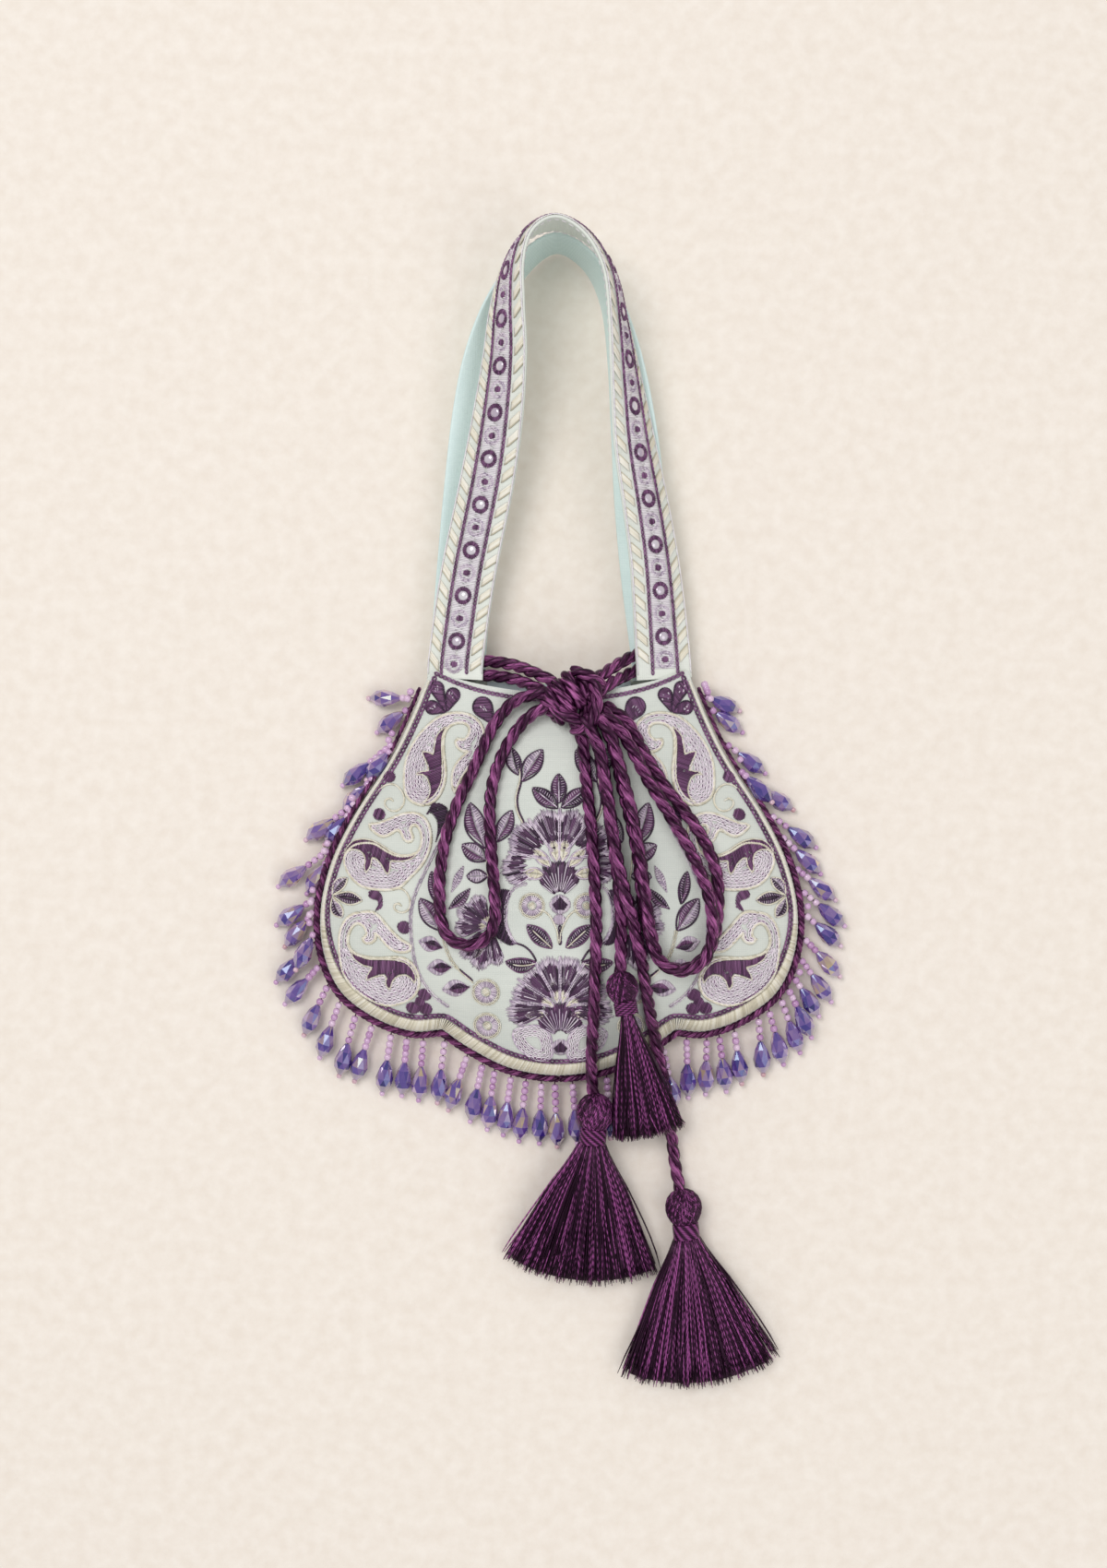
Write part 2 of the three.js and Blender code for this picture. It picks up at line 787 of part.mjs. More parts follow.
add("front_panel", frontPanel(), "silk");
add("back_panel", backPanel(), "silk");
add("mouth_lining", mouthLining(), "lining");
add("strap_front", strap(FRONT_STRAP, FRONT_STRAP_STEPS), "silk");
add("strap_back", strap(BACK_STRAP, 32), "lining");
add("strap_trim", strapTrim(), "trim");
add("bead_fringe_left", fringe(-1, STRANDS_LEFT), "glass");
add("bead_fringe_right", fringe(1, STRANDS_RIGHT), "glass");
add("bow_knot", geometryOf(knotBody(0)), "cord");

const cutters = [knotBody(GAP)];
for (const [name, sizes] of Object.entries(TASSELS)) {
  add(name, tassel(sizes), "cord");
  cutters.push(solid(placeTassel(tasselHead(sizes, GAP), sizes)));
}
for (const [name, route] of Object.entries(CORDS)) {
  add(name, cord(route, cutters), "cord");
}

export default bag;
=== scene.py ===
# Looks of the embroidered silk drawstring bag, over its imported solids.
# Lengths are in millimetres until piece() turns them into metres.
# Materials, the camera, the floor and the lights are in metres.
import math

import bpy
import numpy as np
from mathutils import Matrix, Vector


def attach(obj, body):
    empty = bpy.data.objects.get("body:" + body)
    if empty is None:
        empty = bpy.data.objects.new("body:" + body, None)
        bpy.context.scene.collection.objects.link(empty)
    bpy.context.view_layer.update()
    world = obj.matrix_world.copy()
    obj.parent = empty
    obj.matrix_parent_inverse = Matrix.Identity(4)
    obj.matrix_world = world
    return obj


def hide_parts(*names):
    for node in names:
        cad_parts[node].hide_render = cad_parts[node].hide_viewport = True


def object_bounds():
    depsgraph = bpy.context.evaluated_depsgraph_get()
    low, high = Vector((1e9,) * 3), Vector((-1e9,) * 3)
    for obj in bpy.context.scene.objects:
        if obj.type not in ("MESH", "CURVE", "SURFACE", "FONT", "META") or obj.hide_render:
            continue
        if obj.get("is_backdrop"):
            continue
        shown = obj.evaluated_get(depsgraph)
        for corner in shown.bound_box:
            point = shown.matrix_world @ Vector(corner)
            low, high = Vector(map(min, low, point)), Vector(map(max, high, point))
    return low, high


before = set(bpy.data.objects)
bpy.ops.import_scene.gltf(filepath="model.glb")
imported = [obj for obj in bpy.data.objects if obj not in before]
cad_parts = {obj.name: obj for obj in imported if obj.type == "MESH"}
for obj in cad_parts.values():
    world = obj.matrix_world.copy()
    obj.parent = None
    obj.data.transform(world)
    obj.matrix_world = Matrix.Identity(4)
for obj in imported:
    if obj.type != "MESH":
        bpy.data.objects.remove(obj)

cad_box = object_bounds()
rng = np.random.default_rng(11)
MM = 0.001
TAU = 2 * math.pi
QUARTER = 0.25
UP = np.array([0.0, 0.0, 1.0])

# Sizes shared with the solids
GAP = 0.3
WALL = 1.8
MOUTH_HALF = 53
MOUTH_Y = 83
FRONT_DIP = 9.5
BACK_DIP = 5
SEAM_Z = 7
LOFT = 24
MOUTH_LOFT = 7
FRONT_ROLL = 55
BACK_ROLL = 22
MOUTH_OPEN = 4.5
MOUTH_START_Y = 50
FOLD_HEIGHT = 0.9
FOLD_PITCH = 25
LOFT_FALL_Y = 10
BACK_RIM_FALL = 0.6
PANEL_CENTRE = (0, -4)
PANEL_WIDEST_Y = -16
HEADER_R = 1.5
HEADER_END_Y = 76.5
DROP_R = 3.7
DROP_LENGTH = 13.4
DROP_WIDEST = 0.61
TABLE_CLEAR = 0.2
STRAP_WIDTH = 23.5
STRAP_THICK = 1.8
CORD_R = 2.6

# Right edge from the mouth corner to the cusp, and the middle scallop: x, y
SIDE_EDGE = [
    (53, 83), (61, 64), (70, 46), (84, 24.5), (94, 4.5), (98.8, -16),
    (97.3, -35), (90, -50.5), (76, -61), (61, -66.3), (48.4, -65.6),
]
SCALLOP_EDGE = [
    (48.4, -65.6), (37, -73.4), (20, -81.7), (0, -84.7), (-20, -81.7), (-37, -73.4), (-48.4, -65.6),
]

# Straps from the left foot over the arch to the right foot: x, y, z, roll in degrees
FRONT_STRAP = [
    (-43, 79.5, 12.6, 11), (-42.3, 90, 13, 11), (-37.5, 122, 15.5, 12),
    (-29.5, 160, 20.5, 17), (-25, 186, 24.5, 28), (-22, 210, 29, 41),
    (-21, 228, 33, 53), (-18.5, 245, 36, 68), (-12, 257, 37, 82),
    (-1, 261.5, 37, 89), (11.5, 255, 37, 84), (20, 241, 37, 78),
    (24, 221, 34.5, 69), (27.5, 197, 29.5, 55), (31, 173, 25.5, 42),
    (35.5, 149, 22, 35), (39.5, 124, 17.5, 28), (42.6, 92, 14, 15),
    (43.5, 79.5, 12.2, 12),
]
BACK_STRAP = [
    (-42, 79.5, 5.2, -12), (-42, 90, 5, -13), (-39.5, 124, 4.8, -16),
    (-36.5, 162, 6.5, -25), (-34, 190, 8.7, -36), (-31, 213, 11, -52),
    (-25, 234, 12.2, -68), (-15.5, 250, 12.6, -80), (-1.5, 259.5, 12.8, -84),
    (12, 252, 12.8, -82), (21, 236, 12.5, -74), (27, 212, 11.4, -57),
    (31, 182, 9.4, -40), (33.5, 155, 7.4, -29), (37, 124, 5.5, -19),
    (41.5, 90, 5, -13), (42, 79.5, 5.2, -12),
]

# Cord routes: x, y and the rise above the bag, or above the table for the drawcords and off the bag
CORDS = {
    "drawcord_left_upper": [
        (-43, 87.3, 6.4), (-36, 87.2, 6.8), (-27, 86.6, 9.5), (-18, 84.8, 14.5),
        (-9, 81, 21), (-1, 77, 25),
    ],
    "drawcord_left_lower": [
        (-41.5, 81.2, 6.3), (-36, 81.3, 6.6), (-27, 80.8, 9), (-18, 79, 14),
        (-10, 75.6, 21), (-1, 71, 25),
    ],
    "drawcord_right_upper": [
        (44, 94.4, 7), (38, 92.2, 7.2), (32, 89.8, 9.3), (24, 85.2, 15.5), (12, 77, 25),
    ],
    "drawcord_right_lower": [
        (44, 87.5, 6.55), (40, 86.3, 6.55), (33.5, 84, 7.3), (27, 80.6, 13),
        (20.5, 76.8, 21.5), (13, 70.5, 25.5),
    ],
    "bow_loop_left": [
        (-5, 73, 7.5), (-14, 71.5, 4.5), (-19.8, 68.6, 1.5), (-25, 62.5, 0.8),
        (-29, 55.5, 0.8), (-34.5, 43, 0.8), (-41.5, 27.5, 0.8), (-46, 13.5, 0.8),
        (-48, 0, 0.8), (-48.2, -9.5, 0.8), (-47.7, -18.1, 0.8), (-44.5, -25.8, 0.8),
        (-36.8, -29, 0.8), (-29.1, -25.8, 0.8), (-25.9, -18.1, 0.8), (-26.1, -7, 0.8),
        (-27.2, 7.5, 0.8),
        (-28, 22.5, 0.8), (-27.3, 34.5, 0.8), (-24, 46, 0.8), (-18, 57, 1),
        (-11.5, 64, 3.5), (-4, 68, 7),
    ],
    "bow_loop_right_upper": [
        (17, 66.5, 7.5), (25, 57.5, 6.6), (30, 49, 6.2), (36, 37.5, 4.6),
        (44, 24.5, 3.4), (51.5, 11.5, 3.4), (57.5, -1, 4.6), (61, -13.5, 6.2),
        (61.4, -26.5, 6.6), (57.8, -35.4, 6.6), (49.4, -39.2, 6.6), (41, -35.4, 6.6),
        (37.4, -26.5, 6.6), (34.8, -12.5, 6.6), (32.8, 4, 6.6),
        (30, 20, 6.6), (26.8, 34, 6.6), (23.4, 47, 7), (20.8, 55.5, 8), (16, 64, 9),
    ],
    "bow_loop_right_lower": [
        (18, 68.6, 3), (27.5, 61.5, 1.2), (34, 50, 0.8), (42.8, 35.5, 0.8),
        (53.5, 21.5, 0.8), (60.5, 9.5, 0.8), (64, -2, 0.8), (64.2, -15, 0.8),
        (62.5, -26.5, 0.8), (57.8, -35, 0.8), (50, -39, 0.8), (41.4, -36, 0.8),
        (36.4, -24.5, 0.8), (33.4, -9.5, 0.8), (31.8, 6, 0.8), (28.8, 21, 0.8),
        (25.6, 34.5, 0.8), (23, 47, 0.8), (20.6, 55, 1), (16.5, 64, 2),
    ],
    "tail_middle": [
        (4, 65, 5), (9, 55, 0.8), (11, 36, 0.8), (13, 17, 0.8), (14.2, -2, 0.8),
        (14.9, -21, 0.8), (14.5, -40, 0.8), (14, -59, 1.4), (13.4, -75, 1.6),
        (13.6, -86.5, 11), (14.6, -95, 13),
    ],
    "tail_long": [
        (10, 64, 9), (14, 55, 7.6), (16.8, 47.5, 6.6), (19.8, 28.5, 6.6),
        (22, 12.5, 6.6), (25, -2, 6.6), (29, -17, 5.4), (33, -34, 1.4),
        (36, -51, 0.8), (39, -66, 1.5), (42, -80, 9.6), (44.8, -95, 9.4),
        (46.8, -110, 4), (48.6, -123.5, 2), (51, -136, 5),
    ],
    "tail_short": [
        (11.8, 62, 2), (15.6, 52, 0.8), (17.2, 44, 0.8), (20, 26, 0.8),
        (22.6, 6, 0.8), (24.6, -11.5, 0.8), (24.9, -25, 0.8), (24.6, -41, 3),
    ],
}

# Tassels: head place and radius, heading of the skirt from -Y, length, fan and hem height
TASSELS = {
    "tassel_middle": dict(x=14.8, y=-98.8, z=15.8, r=7.5, heading=-5, length=74, fan=26.5, hem=4.8),
    "tassel_long": dict(x=51.7, y=-139.5, z=7.7, r=7.4, heading=6, length=76, fan=26.5, hem=4.8),
    "tassel_short": dict(x=25.2, y=-45.4, z=37.5, r=6.3, heading=10.5, length=66, fan=13, hem=13),
}
# Strands of the fringe: x, y on the header cord, x, y of the drop's foot, its lift over another
STRANDS = {
    "left": [
        (-61.3, 72.3, -78.6, 71.9), (-62.5, 69.8, -75.3, 58.2), (-69.8, 56.4, -89.6, 36.1),
        (-70.5, 53, -79.6, 38.6, 2), (-76.7, 40.7, -89.6, 25.3), (-85.9, 32.3, -104.9, 13.3),
        (-85.9, 27.7, -97.2, 11.6), (-94.2, 11, -116.4, -6.2), (-95.8, 6.4, -104.8, -9),
        (-100.4, -10, -117.2, -22.3), (-100.4, -15.8, -113.9, -31.2), (-100.8, -22.9, -108.6, -40, 5.5),
        (-100.8, -28.3, -117.5, -46), (-99.1, -37.9, -113.8, -55.1), (-96.3, -46.3, -106.1, -67.9),
        (-91.9, -53.7, -99.6, -77.3), (-85.6, -59.8, -91.6, -84.9), (-77.9, -64.4, -85.1, -87.1),
        (-70.3, -67.2, -73.7, -92.2), (-63.5, -68.6, -65.6, -93.1), (-55.6, -70, -58.6, -95),
        (-49.4, -71.8, -50.7, -96.1), (-39.5, -77.8, -45.9, -99.2), (-32.6, -80.8, -36.9, -103.9),
        (-27.3, -82.9, -29.9, -107.2), (-19.8, -85.6, -23.2, -109.5), (-14.2, -87.3, -16.6, -112.1),
        (-7.3, -88, -8.2, -113), (-1.9, -88, -0.8, -114.4),
    ],
    "right": [
        (58.3, 73.2, 74.6, 67), (60.5, 69.2, 75.9, 58.2), (67.7, 53.9, 85.3, 41.1),
        (76, 44.1, 87.6, 29.2, 5), (80.2, 40.3, 97, 25.8), (87.2, 25.3, 106.5, 10.1),
        (92, 17.3, 108.5, -0.8), (98.5, 3.1, 114.7, -11.8), (100.7, -7.1, 118.5, -22.6),
        (100.7, -15.9, 116.9, -30.9), (101.8, -25.9, 116.6, -43.6), (100.7, -34.8, 113.1, -54.1),
        (99.1, -42.8, 108, -60.1), (96.9, -47.7, 104.7, -68.6, 2), (92.8, -52.9, 100.3, -75.2),
        (87.9, -57.8, 93.5, -80.1), (84, -61.3, 85.2, -84.3), (73.9, -65.9, 76.2, -88.1),
        (67.4, -67.8, 69.7, -91.4), (60.9, -69.4, 61.2, -92.5), (52.2, -71.3, 53.9, -93.9),
        (45.6, -75.2, 48.3, -98.6), (39.9, -78.9, 41.7, -103.1), (33.6, -81.8, 35.4, -106.4),
        (26.9, -84.1, 28.5, -108.9), (20, -85.8, 21.4, -110.8), (13.1, -87.4, 14.4, -112.3),
        (6, -88, 7.6, -113),
    ],
}
KNOT_X = 1
KNOT_Y = 72
KNOT_RISE = 7


def lerp(a, b, t):
    return a + (b - a) * t


def smoothstep(x, low, high):
    t = np.clip((np.asarray(x, float) - low) / (high - low), 0, 1)
    return t * t * (3 - 2 * t)


def unit(v):
    return v / np.maximum(np.linalg.norm(v, axis=-1, keepdims=True), 1e-9)


def curve(rows, steps):
    """Catmull-Rom line through rows, in equal steps of its parameter."""
    p = np.asarray(rows, float)
    p = np.vstack([2 * p[0] - p[1], p, 2 * p[-1] - p[-2]])
    t = np.linspace(0, len(p) - 3, steps + 1)
    i = np.minimum(t.astype(int), len(p) - 4)
    f = (t - i)[:, None]
    a, b, c, d = p[i], p[i + 1], p[i + 2], p[i + 3]
    cubic = (3 * b - a - 3 * c + d) * f**3
    return 0.5 * (2 * b + (c - a) * f + (2 * a - 5 * b + 4 * c - d) * f**2 + cubic)


def run_along(line):
    """Length of a line up to each of its points."""
    return np.append(0, np.cumsum(np.linalg.norm(np.diff(line, axis=0), axis=1)))


def spaced(line, step=None, count=None):
    """The same line in equal steps of its length."""
    line = np.asarray(line, float)
    run = run_along(line)
    count = count or max(2, round(run[-1] / step))
    at = np.linspace(0, run[-1], count + 1)
    return np.stack([np.interp(at, run, line[:, k]) for k in range(line.shape[1])], axis=1)


def run_length(line):
    return float(np.linalg.norm(np.diff(line, axis=0), axis=1).sum())


def left_of(along):
    """Flat directions turned a quarter to the left."""
    return np.stack([-along[:, 1], along[:, 0]], axis=1)


def spokes(angle):
    return np.stack([np.cos(angle), np.sin(angle)], axis=1)


# Heights of the cloth
SIDE_EDGE_STEPS = 1800
SCALLOP_EDGE_STEPS = 1200


def seam_points(side_steps, scallop_steps):
    """The seam from the left corner of the mouth round to the right one."""
    right = spaced(curve(SIDE_EDGE, SIDE_EDGE_STEPS), count=side_steps)
    scallop = spaced(curve(SCALLOP_EDGE, SCALLOP_EDGE_STEPS), count=scallop_steps)[::-1]
    return np.vstack([right * (-1, 1), scallop[1:], right[::-1][1:]])


SEAM_SIDE_STEPS = 160
SEAM_SCALLOP_STEPS = 100
SEAM = seam_points(SEAM_SIDE_STEPS, SEAM_SCALLOP_STEPS)
SEAM_MIDDLES = (SEAM[1:] + SEAM[:-1]) / 2
SEAM_LENGTHS = np.linalg.norm(np.diff(SEAM, axis=0), axis=1)
SEAM_CHUNK = 4000
SEAM_NEAREST = 0.01


def seam_distance(x, y):
    """Smooth distance to the seam."""
    flat = np.stack(np.broadcast_arrays(x, y), axis=-1).reshape(-1, 2).astype(float)
    found = []
    for part in np.array_split(flat, len(flat) // SEAM_CHUNK + 1):
        square = ((part[:, None] - SEAM_MIDDLES) ** 2).sum(axis=2)
        found.append((SEAM_LENGTHS / np.maximum(square, SEAM_NEAREST) ** 2).sum(axis=1))
    distance = (2 / math.pi * np.concatenate(found)) ** (-1 / 3)
    return distance.reshape(np.broadcast(x, y).shape)


def swell(distance, roll):
    return 1 - (1 - np.minimum(distance / roll, 1)) ** 2


def mouth_share(y):
    return smoothstep(y, MOUTH_START_Y, MOUTH_Y)


def front_z(x, y):
    """Outer face of the front."""
    swollen = swell(seam_distance(x, y), FRONT_ROLL)
    loft = lerp(LOFT, MOUTH_LOFT, smoothstep(y, LOFT_FALL_Y, MOUTH_Y))
    fold = FOLD_HEIGHT * np.cos(TAU * np.asarray(x) / FOLD_PITCH) * mouth_share(y)
    return SEAM_Z + GAP / 2 + WALL + MOUTH_OPEN * mouth_share(y) + (loft + fold) * swollen


def back_z(x, y):
    """Outer face of the back, flat on the table away from the seam."""
    rim = (SEAM_Z - GAP / 2 - WALL) * (1 - BACK_RIM_FALL * mouth_share(y))
    return rim * (1 - swell(seam_distance(x, y), BACK_ROLL))


WRINKLE_SOFT = 0.16
WRINKLE_FINE = 0.05
WRINKLE_PULL = 0.22
PULL_FROM_Y = 58
PULL_TO_Y = 80


def wrinkle(x, y):
    """Slight unevenness of cloth pulled by its stitches: crossing waves, in radians per millimetre."""
    x, y = np.asarray(x, float), np.asarray(y, float)
    soft = WRINKLE_SOFT * np.sin(0.21 * x + 0.9 * np.sin(0.08 * y)) * np.sin(0.17 * y + 0.07 * x)
    fine = WRINKLE_FINE * np.sin(0.63 * x + 0.31 * y) * np.sin(0.52 * y - 0.27 * x)
    pulled = WRINKLE_PULL * np.sin(0.9 * x + 0.25 * y) * smoothstep(y, PULL_FROM_Y, PULL_TO_Y)
    return soft + fine + pulled


def cloth_z(x, y):
    return front_z(x, y) + wrinkle(x, y)


def inside(points, outline):
    """Which points lie in a closed outline."""
    x, y = points[..., 0, None], points[..., 1, None]
    a, b = outline, np.roll(outline, -1, axis=0)
    rise = np.where(b[:, 1] == a[:, 1], 1e-9, b[:, 1] - a[:, 1])
    crossed = (a[:, 1] > y) != (b[:, 1] > y)
    left = x < a[:, 0] + (y - a[:, 1]) / rise * (b[:, 0] - a[:, 0])
    return (crossed & left).sum(axis=-1) % 2 == 1


# Meshes
def part(verts, faces, uv=None, tint=None):
    """Corners, lists of faces with the same number of corners, thread coordinates and tints."""
    verts = np.asarray(verts, float).reshape(-1, 3)
    uv = np.zeros((len(verts), 2)) if uv is None else np.asarray(uv, float).reshape(-1, 2)
    tint = np.broadcast_to(0.5 if tint is None else tint, len(verts))
    return verts, [np.asarray(f) for f in faces], uv, tint


def piece(name, parts, material, slot, nodes=(), smooth=True):
    """One object of parts, riding on the bag, in place of the solids named in nodes."""
    verts = np.vstack([p[0] for p in parts])
    starts = np.cumsum([0] + [len(p[0]) for p in parts])
    faces = [f + start for p, start in zip(parts, starts) for f in p[1] if len(f)]
    corners = np.concatenate([f.ravel() for f in faces])
    sizes = np.concatenate([np.full(len(f), f.shape[1]) for f in faces])
    mesh = bpy.data.meshes.new(name)
    mesh.vertices.add(len(verts))
    mesh.vertices.foreach_set("co", (verts * MM).ravel())
    mesh.loops.add(len(corners))
    mesh.loops.foreach_set("vertex_index", corners.astype(np.int32))
    mesh.polygons.add(len(sizes))
    mesh.polygons.foreach_set("loop_start", np.append(0, np.cumsum(sizes)[:-1]).astype(np.int32))
    mesh.update(calc_edges=True)
    mesh.polygons.foreach_set("use_smooth", np.full(len(sizes), smooth))
    layer = mesh.uv_layers.new(name="Thread")
    layer.uv.foreach_set("vector", np.vstack([p[2] for p in parts])[corners].ravel())
    tint = mesh.attributes.new("Tint", "FLOAT", "POINT")
    tint.data.foreach_set("value", np.concatenate([p[3] for p in parts]).astype(np.float32))
    mesh.materials.append(material)
    obj = bpy.data.objects.new(name, mesh)
    bpy.context.scene.collection.objects.link(obj)
    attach(obj, "root")
    if nodes:
        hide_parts(*nodes)
    return obj


def grid(points, uv=None, tint=None, closed=False):
    """Quads over a rows by columns grid of points; closed joins the last column to the first."""
    rows, columns = points.shape[:2]
    i = np.arange(rows * columns).reshape(rows, columns)
    j = np.roll(i, -1, axis=1)
    a, b, c, d = i[:-1], j[:-1], j[1:], i[1:]
    quads = np.stack([a, b, c, d], axis=-1)
    quads = quads if closed else quads[:, :-1]
    return part(points, [quads.reshape(-1, 4)], uv, tint)


def capped(points, tint=None):
    """Closed skin round rings of points, with a face over the first and the last ring."""
    verts, faces, uv, tints = grid(points[:, ::-1], closed=True, tint=tint)
    rings = np.arange(len(verts)).reshape(points.shape[:2])
    return verts, faces + [rings[:1], rings[-1:, ::-1]], uv, tints


def tubes(lines, radius, sides=5, up=UP, flat=1.0, tint=None):
    """Closed tubes along many lines at once, a corner upwards: lines is count by steps by 3."""
    lines = np.asarray(lines, float)
    count, steps = lines.shape[:2]
    along = unit(np.gradient(lines, axis=1))
    side = unit(np.cross(along, np.broadcast_to(up, lines.shape)))
    rise = np.cross(side, along)
    angle = TAU * (np.arange(sides) / sides + QUARTER)
    ring = np.cos(angle)[:, None] * side[:, :, None] + flat * np.sin(angle)[:, None] * rise[:, :, None]
    verts = lines[:, :, None] + np.broadcast_to(radius, (count, steps))[..., None, None] * ring
    i = np.arange(count * steps * sides).reshape(count, steps, sides)
    a, b = i[:, :-1], i[:, 1:]
    quads = np.stack([a, b, np.roll(b, -1, axis=2), np.roll(a, -1, axis=2)], axis=-1)
    run = np.cumsum(np.linalg.norm(np.diff(lines, axis=1, prepend=lines[:, :1]), axis=2), axis=1)
    uv = np.stack(np.broadcast_arrays(np.arange(sides) / sides, run[..., None]), axis=-1)
    if tint is not None:
        tint = np.broadcast_to(np.asarray(tint)[:, None], (count, steps * sides)).ravel()
    return part(verts, [quads.reshape(-1, 4), i[:, 0], i[:, -1, ::-1]], uv, tint)


PLY_OUT = 0.5
PLY_R = 0.53
PLY_END = 0.3
PLY_TINTS = (0.3, 0.7)


def rope(route, radius, lay, plies=3, step=0.9, sides=10, up=UP):
    """Plies twisted round a route; lay is the length of one full turn, radius may change along it."""
    line = spaced(route, step)
    radius = np.interp(np.linspace(0, 1, len(line)), np.linspace(0, 1, np.size(radius)), np.ravel(radius))
    run = run_along(line)
    along = unit(np.gradient(line, axis=0))
    side = unit(np.cross(along, up))
    rise = np.cross(side, along)
    strands = []
    for k in range(plies):
        angle = (TAU * (run / lay + k / plies))[:, None]
        strands.append(line + PLY_OUT * radius[:, None] * (np.cos(angle) * side + np.sin(angle) * rise))
    width = PLY_R * radius
    width[[0, -1]] *= PLY_END
    return tubes(strands, width, sides, up, tint=np.linspace(*PLY_TINTS, plies)), line


def revolve(profile, sides, twist=0.0, roll=0.0):
    """Points of a lathe about +Y: profile rows are radius and distance along the axis."""
    profile = np.asarray(profile, float)
    angle = TAU * (np.arange(sides) + roll + twist * np.arange(len(profile))[:, None]) / sides
    r, y = profile[:, :1], profile[:, 1:]
    return np.stack([r * np.cos(angle), np.broadcast_to(y, angle.shape), r * np.sin(angle)], axis=-1)


# Materials
def srgb(red, green, blue):
    share = np.array([red, green, blue]) / 255
    linear = np.where(share > 0.04045, ((share + 0.055) / 1.055) ** 2.4, share / 12.92)
    return (*(float(v) for v in linear), 1.0)


def node(tree, kind, inputs=None, **settings):
    made = tree.nodes.new(kind)
    for key, value in settings.items():
        setattr(made, key, value)
    for key, value in (inputs or {}).items():
        if isinstance(value, bpy.types.NodeSocket):
            tree.links.new(value, made.inputs[key])
        else:
            made.inputs[key].default_value = value
    return made


def surface(name, **sockets):
    """A new material: its node tree and shader, with constant sockets set on the shader."""
    material = bpy.data.materials.new(name)
    material.use_nodes = True
    shader = material.node_tree.nodes["Principled BSDF"]
    for key, value in sockets.items():
        shader.inputs[key.replace("_", " ")].default_value = value
    return material, material.node_tree, shader


def ramp(tree, source, stops):
    """Colour ramp over a source; stops are places and colours from 0 to 255."""
    stops = list(stops)
    made = node(tree, "ShaderNodeValToRGB", {"Fac": source})
    elements = made.color_ramp.elements
    while len(elements) < len(stops):
        elements.new(0.5)
    for element, (place, colour) in zip(elements, stops):
        element.position = place
        element.color = srgb(*colour)
    return made.outputs["Color"]


def maths(tree, operation, a, b, c=0.0):
    made = node(tree, "ShaderNodeMath", {0: a, 1: b, 2: c}, operation=operation)
    return made.outputs["Value"]


def bump(tree, shader, height, strength, distance):
    made = node(tree, "ShaderNodeBump", {"Height": height, "Strength": strength, "Distance": distance})
    tree.links.new(made.outputs["Normal"], shader.inputs["Normal"])


WAVE_PERIOD = TAU / 20


def wave(tree, vector, period, direction, distortion=0.0, phase=0.0):
    """Bands of a period in the vector's own unit."""
    return node(
        tree, "ShaderNodeTexWave",
        {"Vector": vector, "Scale": WAVE_PERIOD / period, "Distortion": distortion, "Phase Offset": phase},
        bands_direction=direction,
    ).outputs["Fac"]


def noise(tree, vector, size, detail=3.0):
    return node(
        tree, "ShaderNodeTexNoise", {"Vector": vector, "Scale": 1 / size, "Detail": detail},
    ).outputs["Fac"]


def stretched(tree, vector, scale):
    return node(tree, "ShaderNodeMapping", {"Vector": vector, "Scale": scale}).outputs["Vector"]


WEAVE_WANDER = 1.5
SLUB_STRETCH = (0.12, 1, 1)
SLUB_SIZE = 0.0016
PATCH_SIZE = 0.03
WEAVE_SHARE = 0.3
PATCH_SHARE = 0.6
WEAVE_DEPTH = 0.00025
CLOTH_PLACES = (0.25, 0.75)


def cloth(name, light, dark, thread):
    """Plain-woven silk with slubs; thread is the weave's pitch in metres."""
    material, tree, shader = surface(
        name, Roughness=0.5, Sheen_Weight=0.25, Sheen_Roughness=0.35, Specular_IOR_Level=0.4,
    )
    place = node(tree, "ShaderNodeTexCoord").outputs["Object"]
    warp = wave(tree, place, thread, "X", WEAVE_WANDER)
    weft = wave(tree, place, thread, "Y", WEAVE_WANDER)
    slub = noise(tree, stretched(tree, place, SLUB_STRETCH), SLUB_SIZE)
    weave = maths(tree, "ADD", maths(tree, "MULTIPLY", warp, weft), slub)
    patch = maths(tree, "MULTIPLY", noise(tree, place, PATCH_SIZE), PATCH_SHARE)
    shade = maths(tree, "ADD", maths(tree, "MULTIPLY", weave, WEAVE_SHARE), patch)
    colour = ramp(tree, shade, zip(CLOTH_PLACES, (dark, light)))
    tree.links.new(colour, shader.inputs["Base Color"])
    bump(tree, shader, weave, strength=0.35, distance=WEAVE_DEPTH)
    return material


FLOSS_PLACES = (0.15, 0.5, 0.85)
FILAMENT_STRETCH = (9, 0.2, 1)
FILAMENT_DEPTH = 0.0002
TINT_SPAN = 0.65
TINT_LEAST = 0.175
TWIST_SHADE_SCATTER = 900.0
TWIST_SHADE_SPAN = 0.5
TWIST_SHADE_LEAST = 0.75


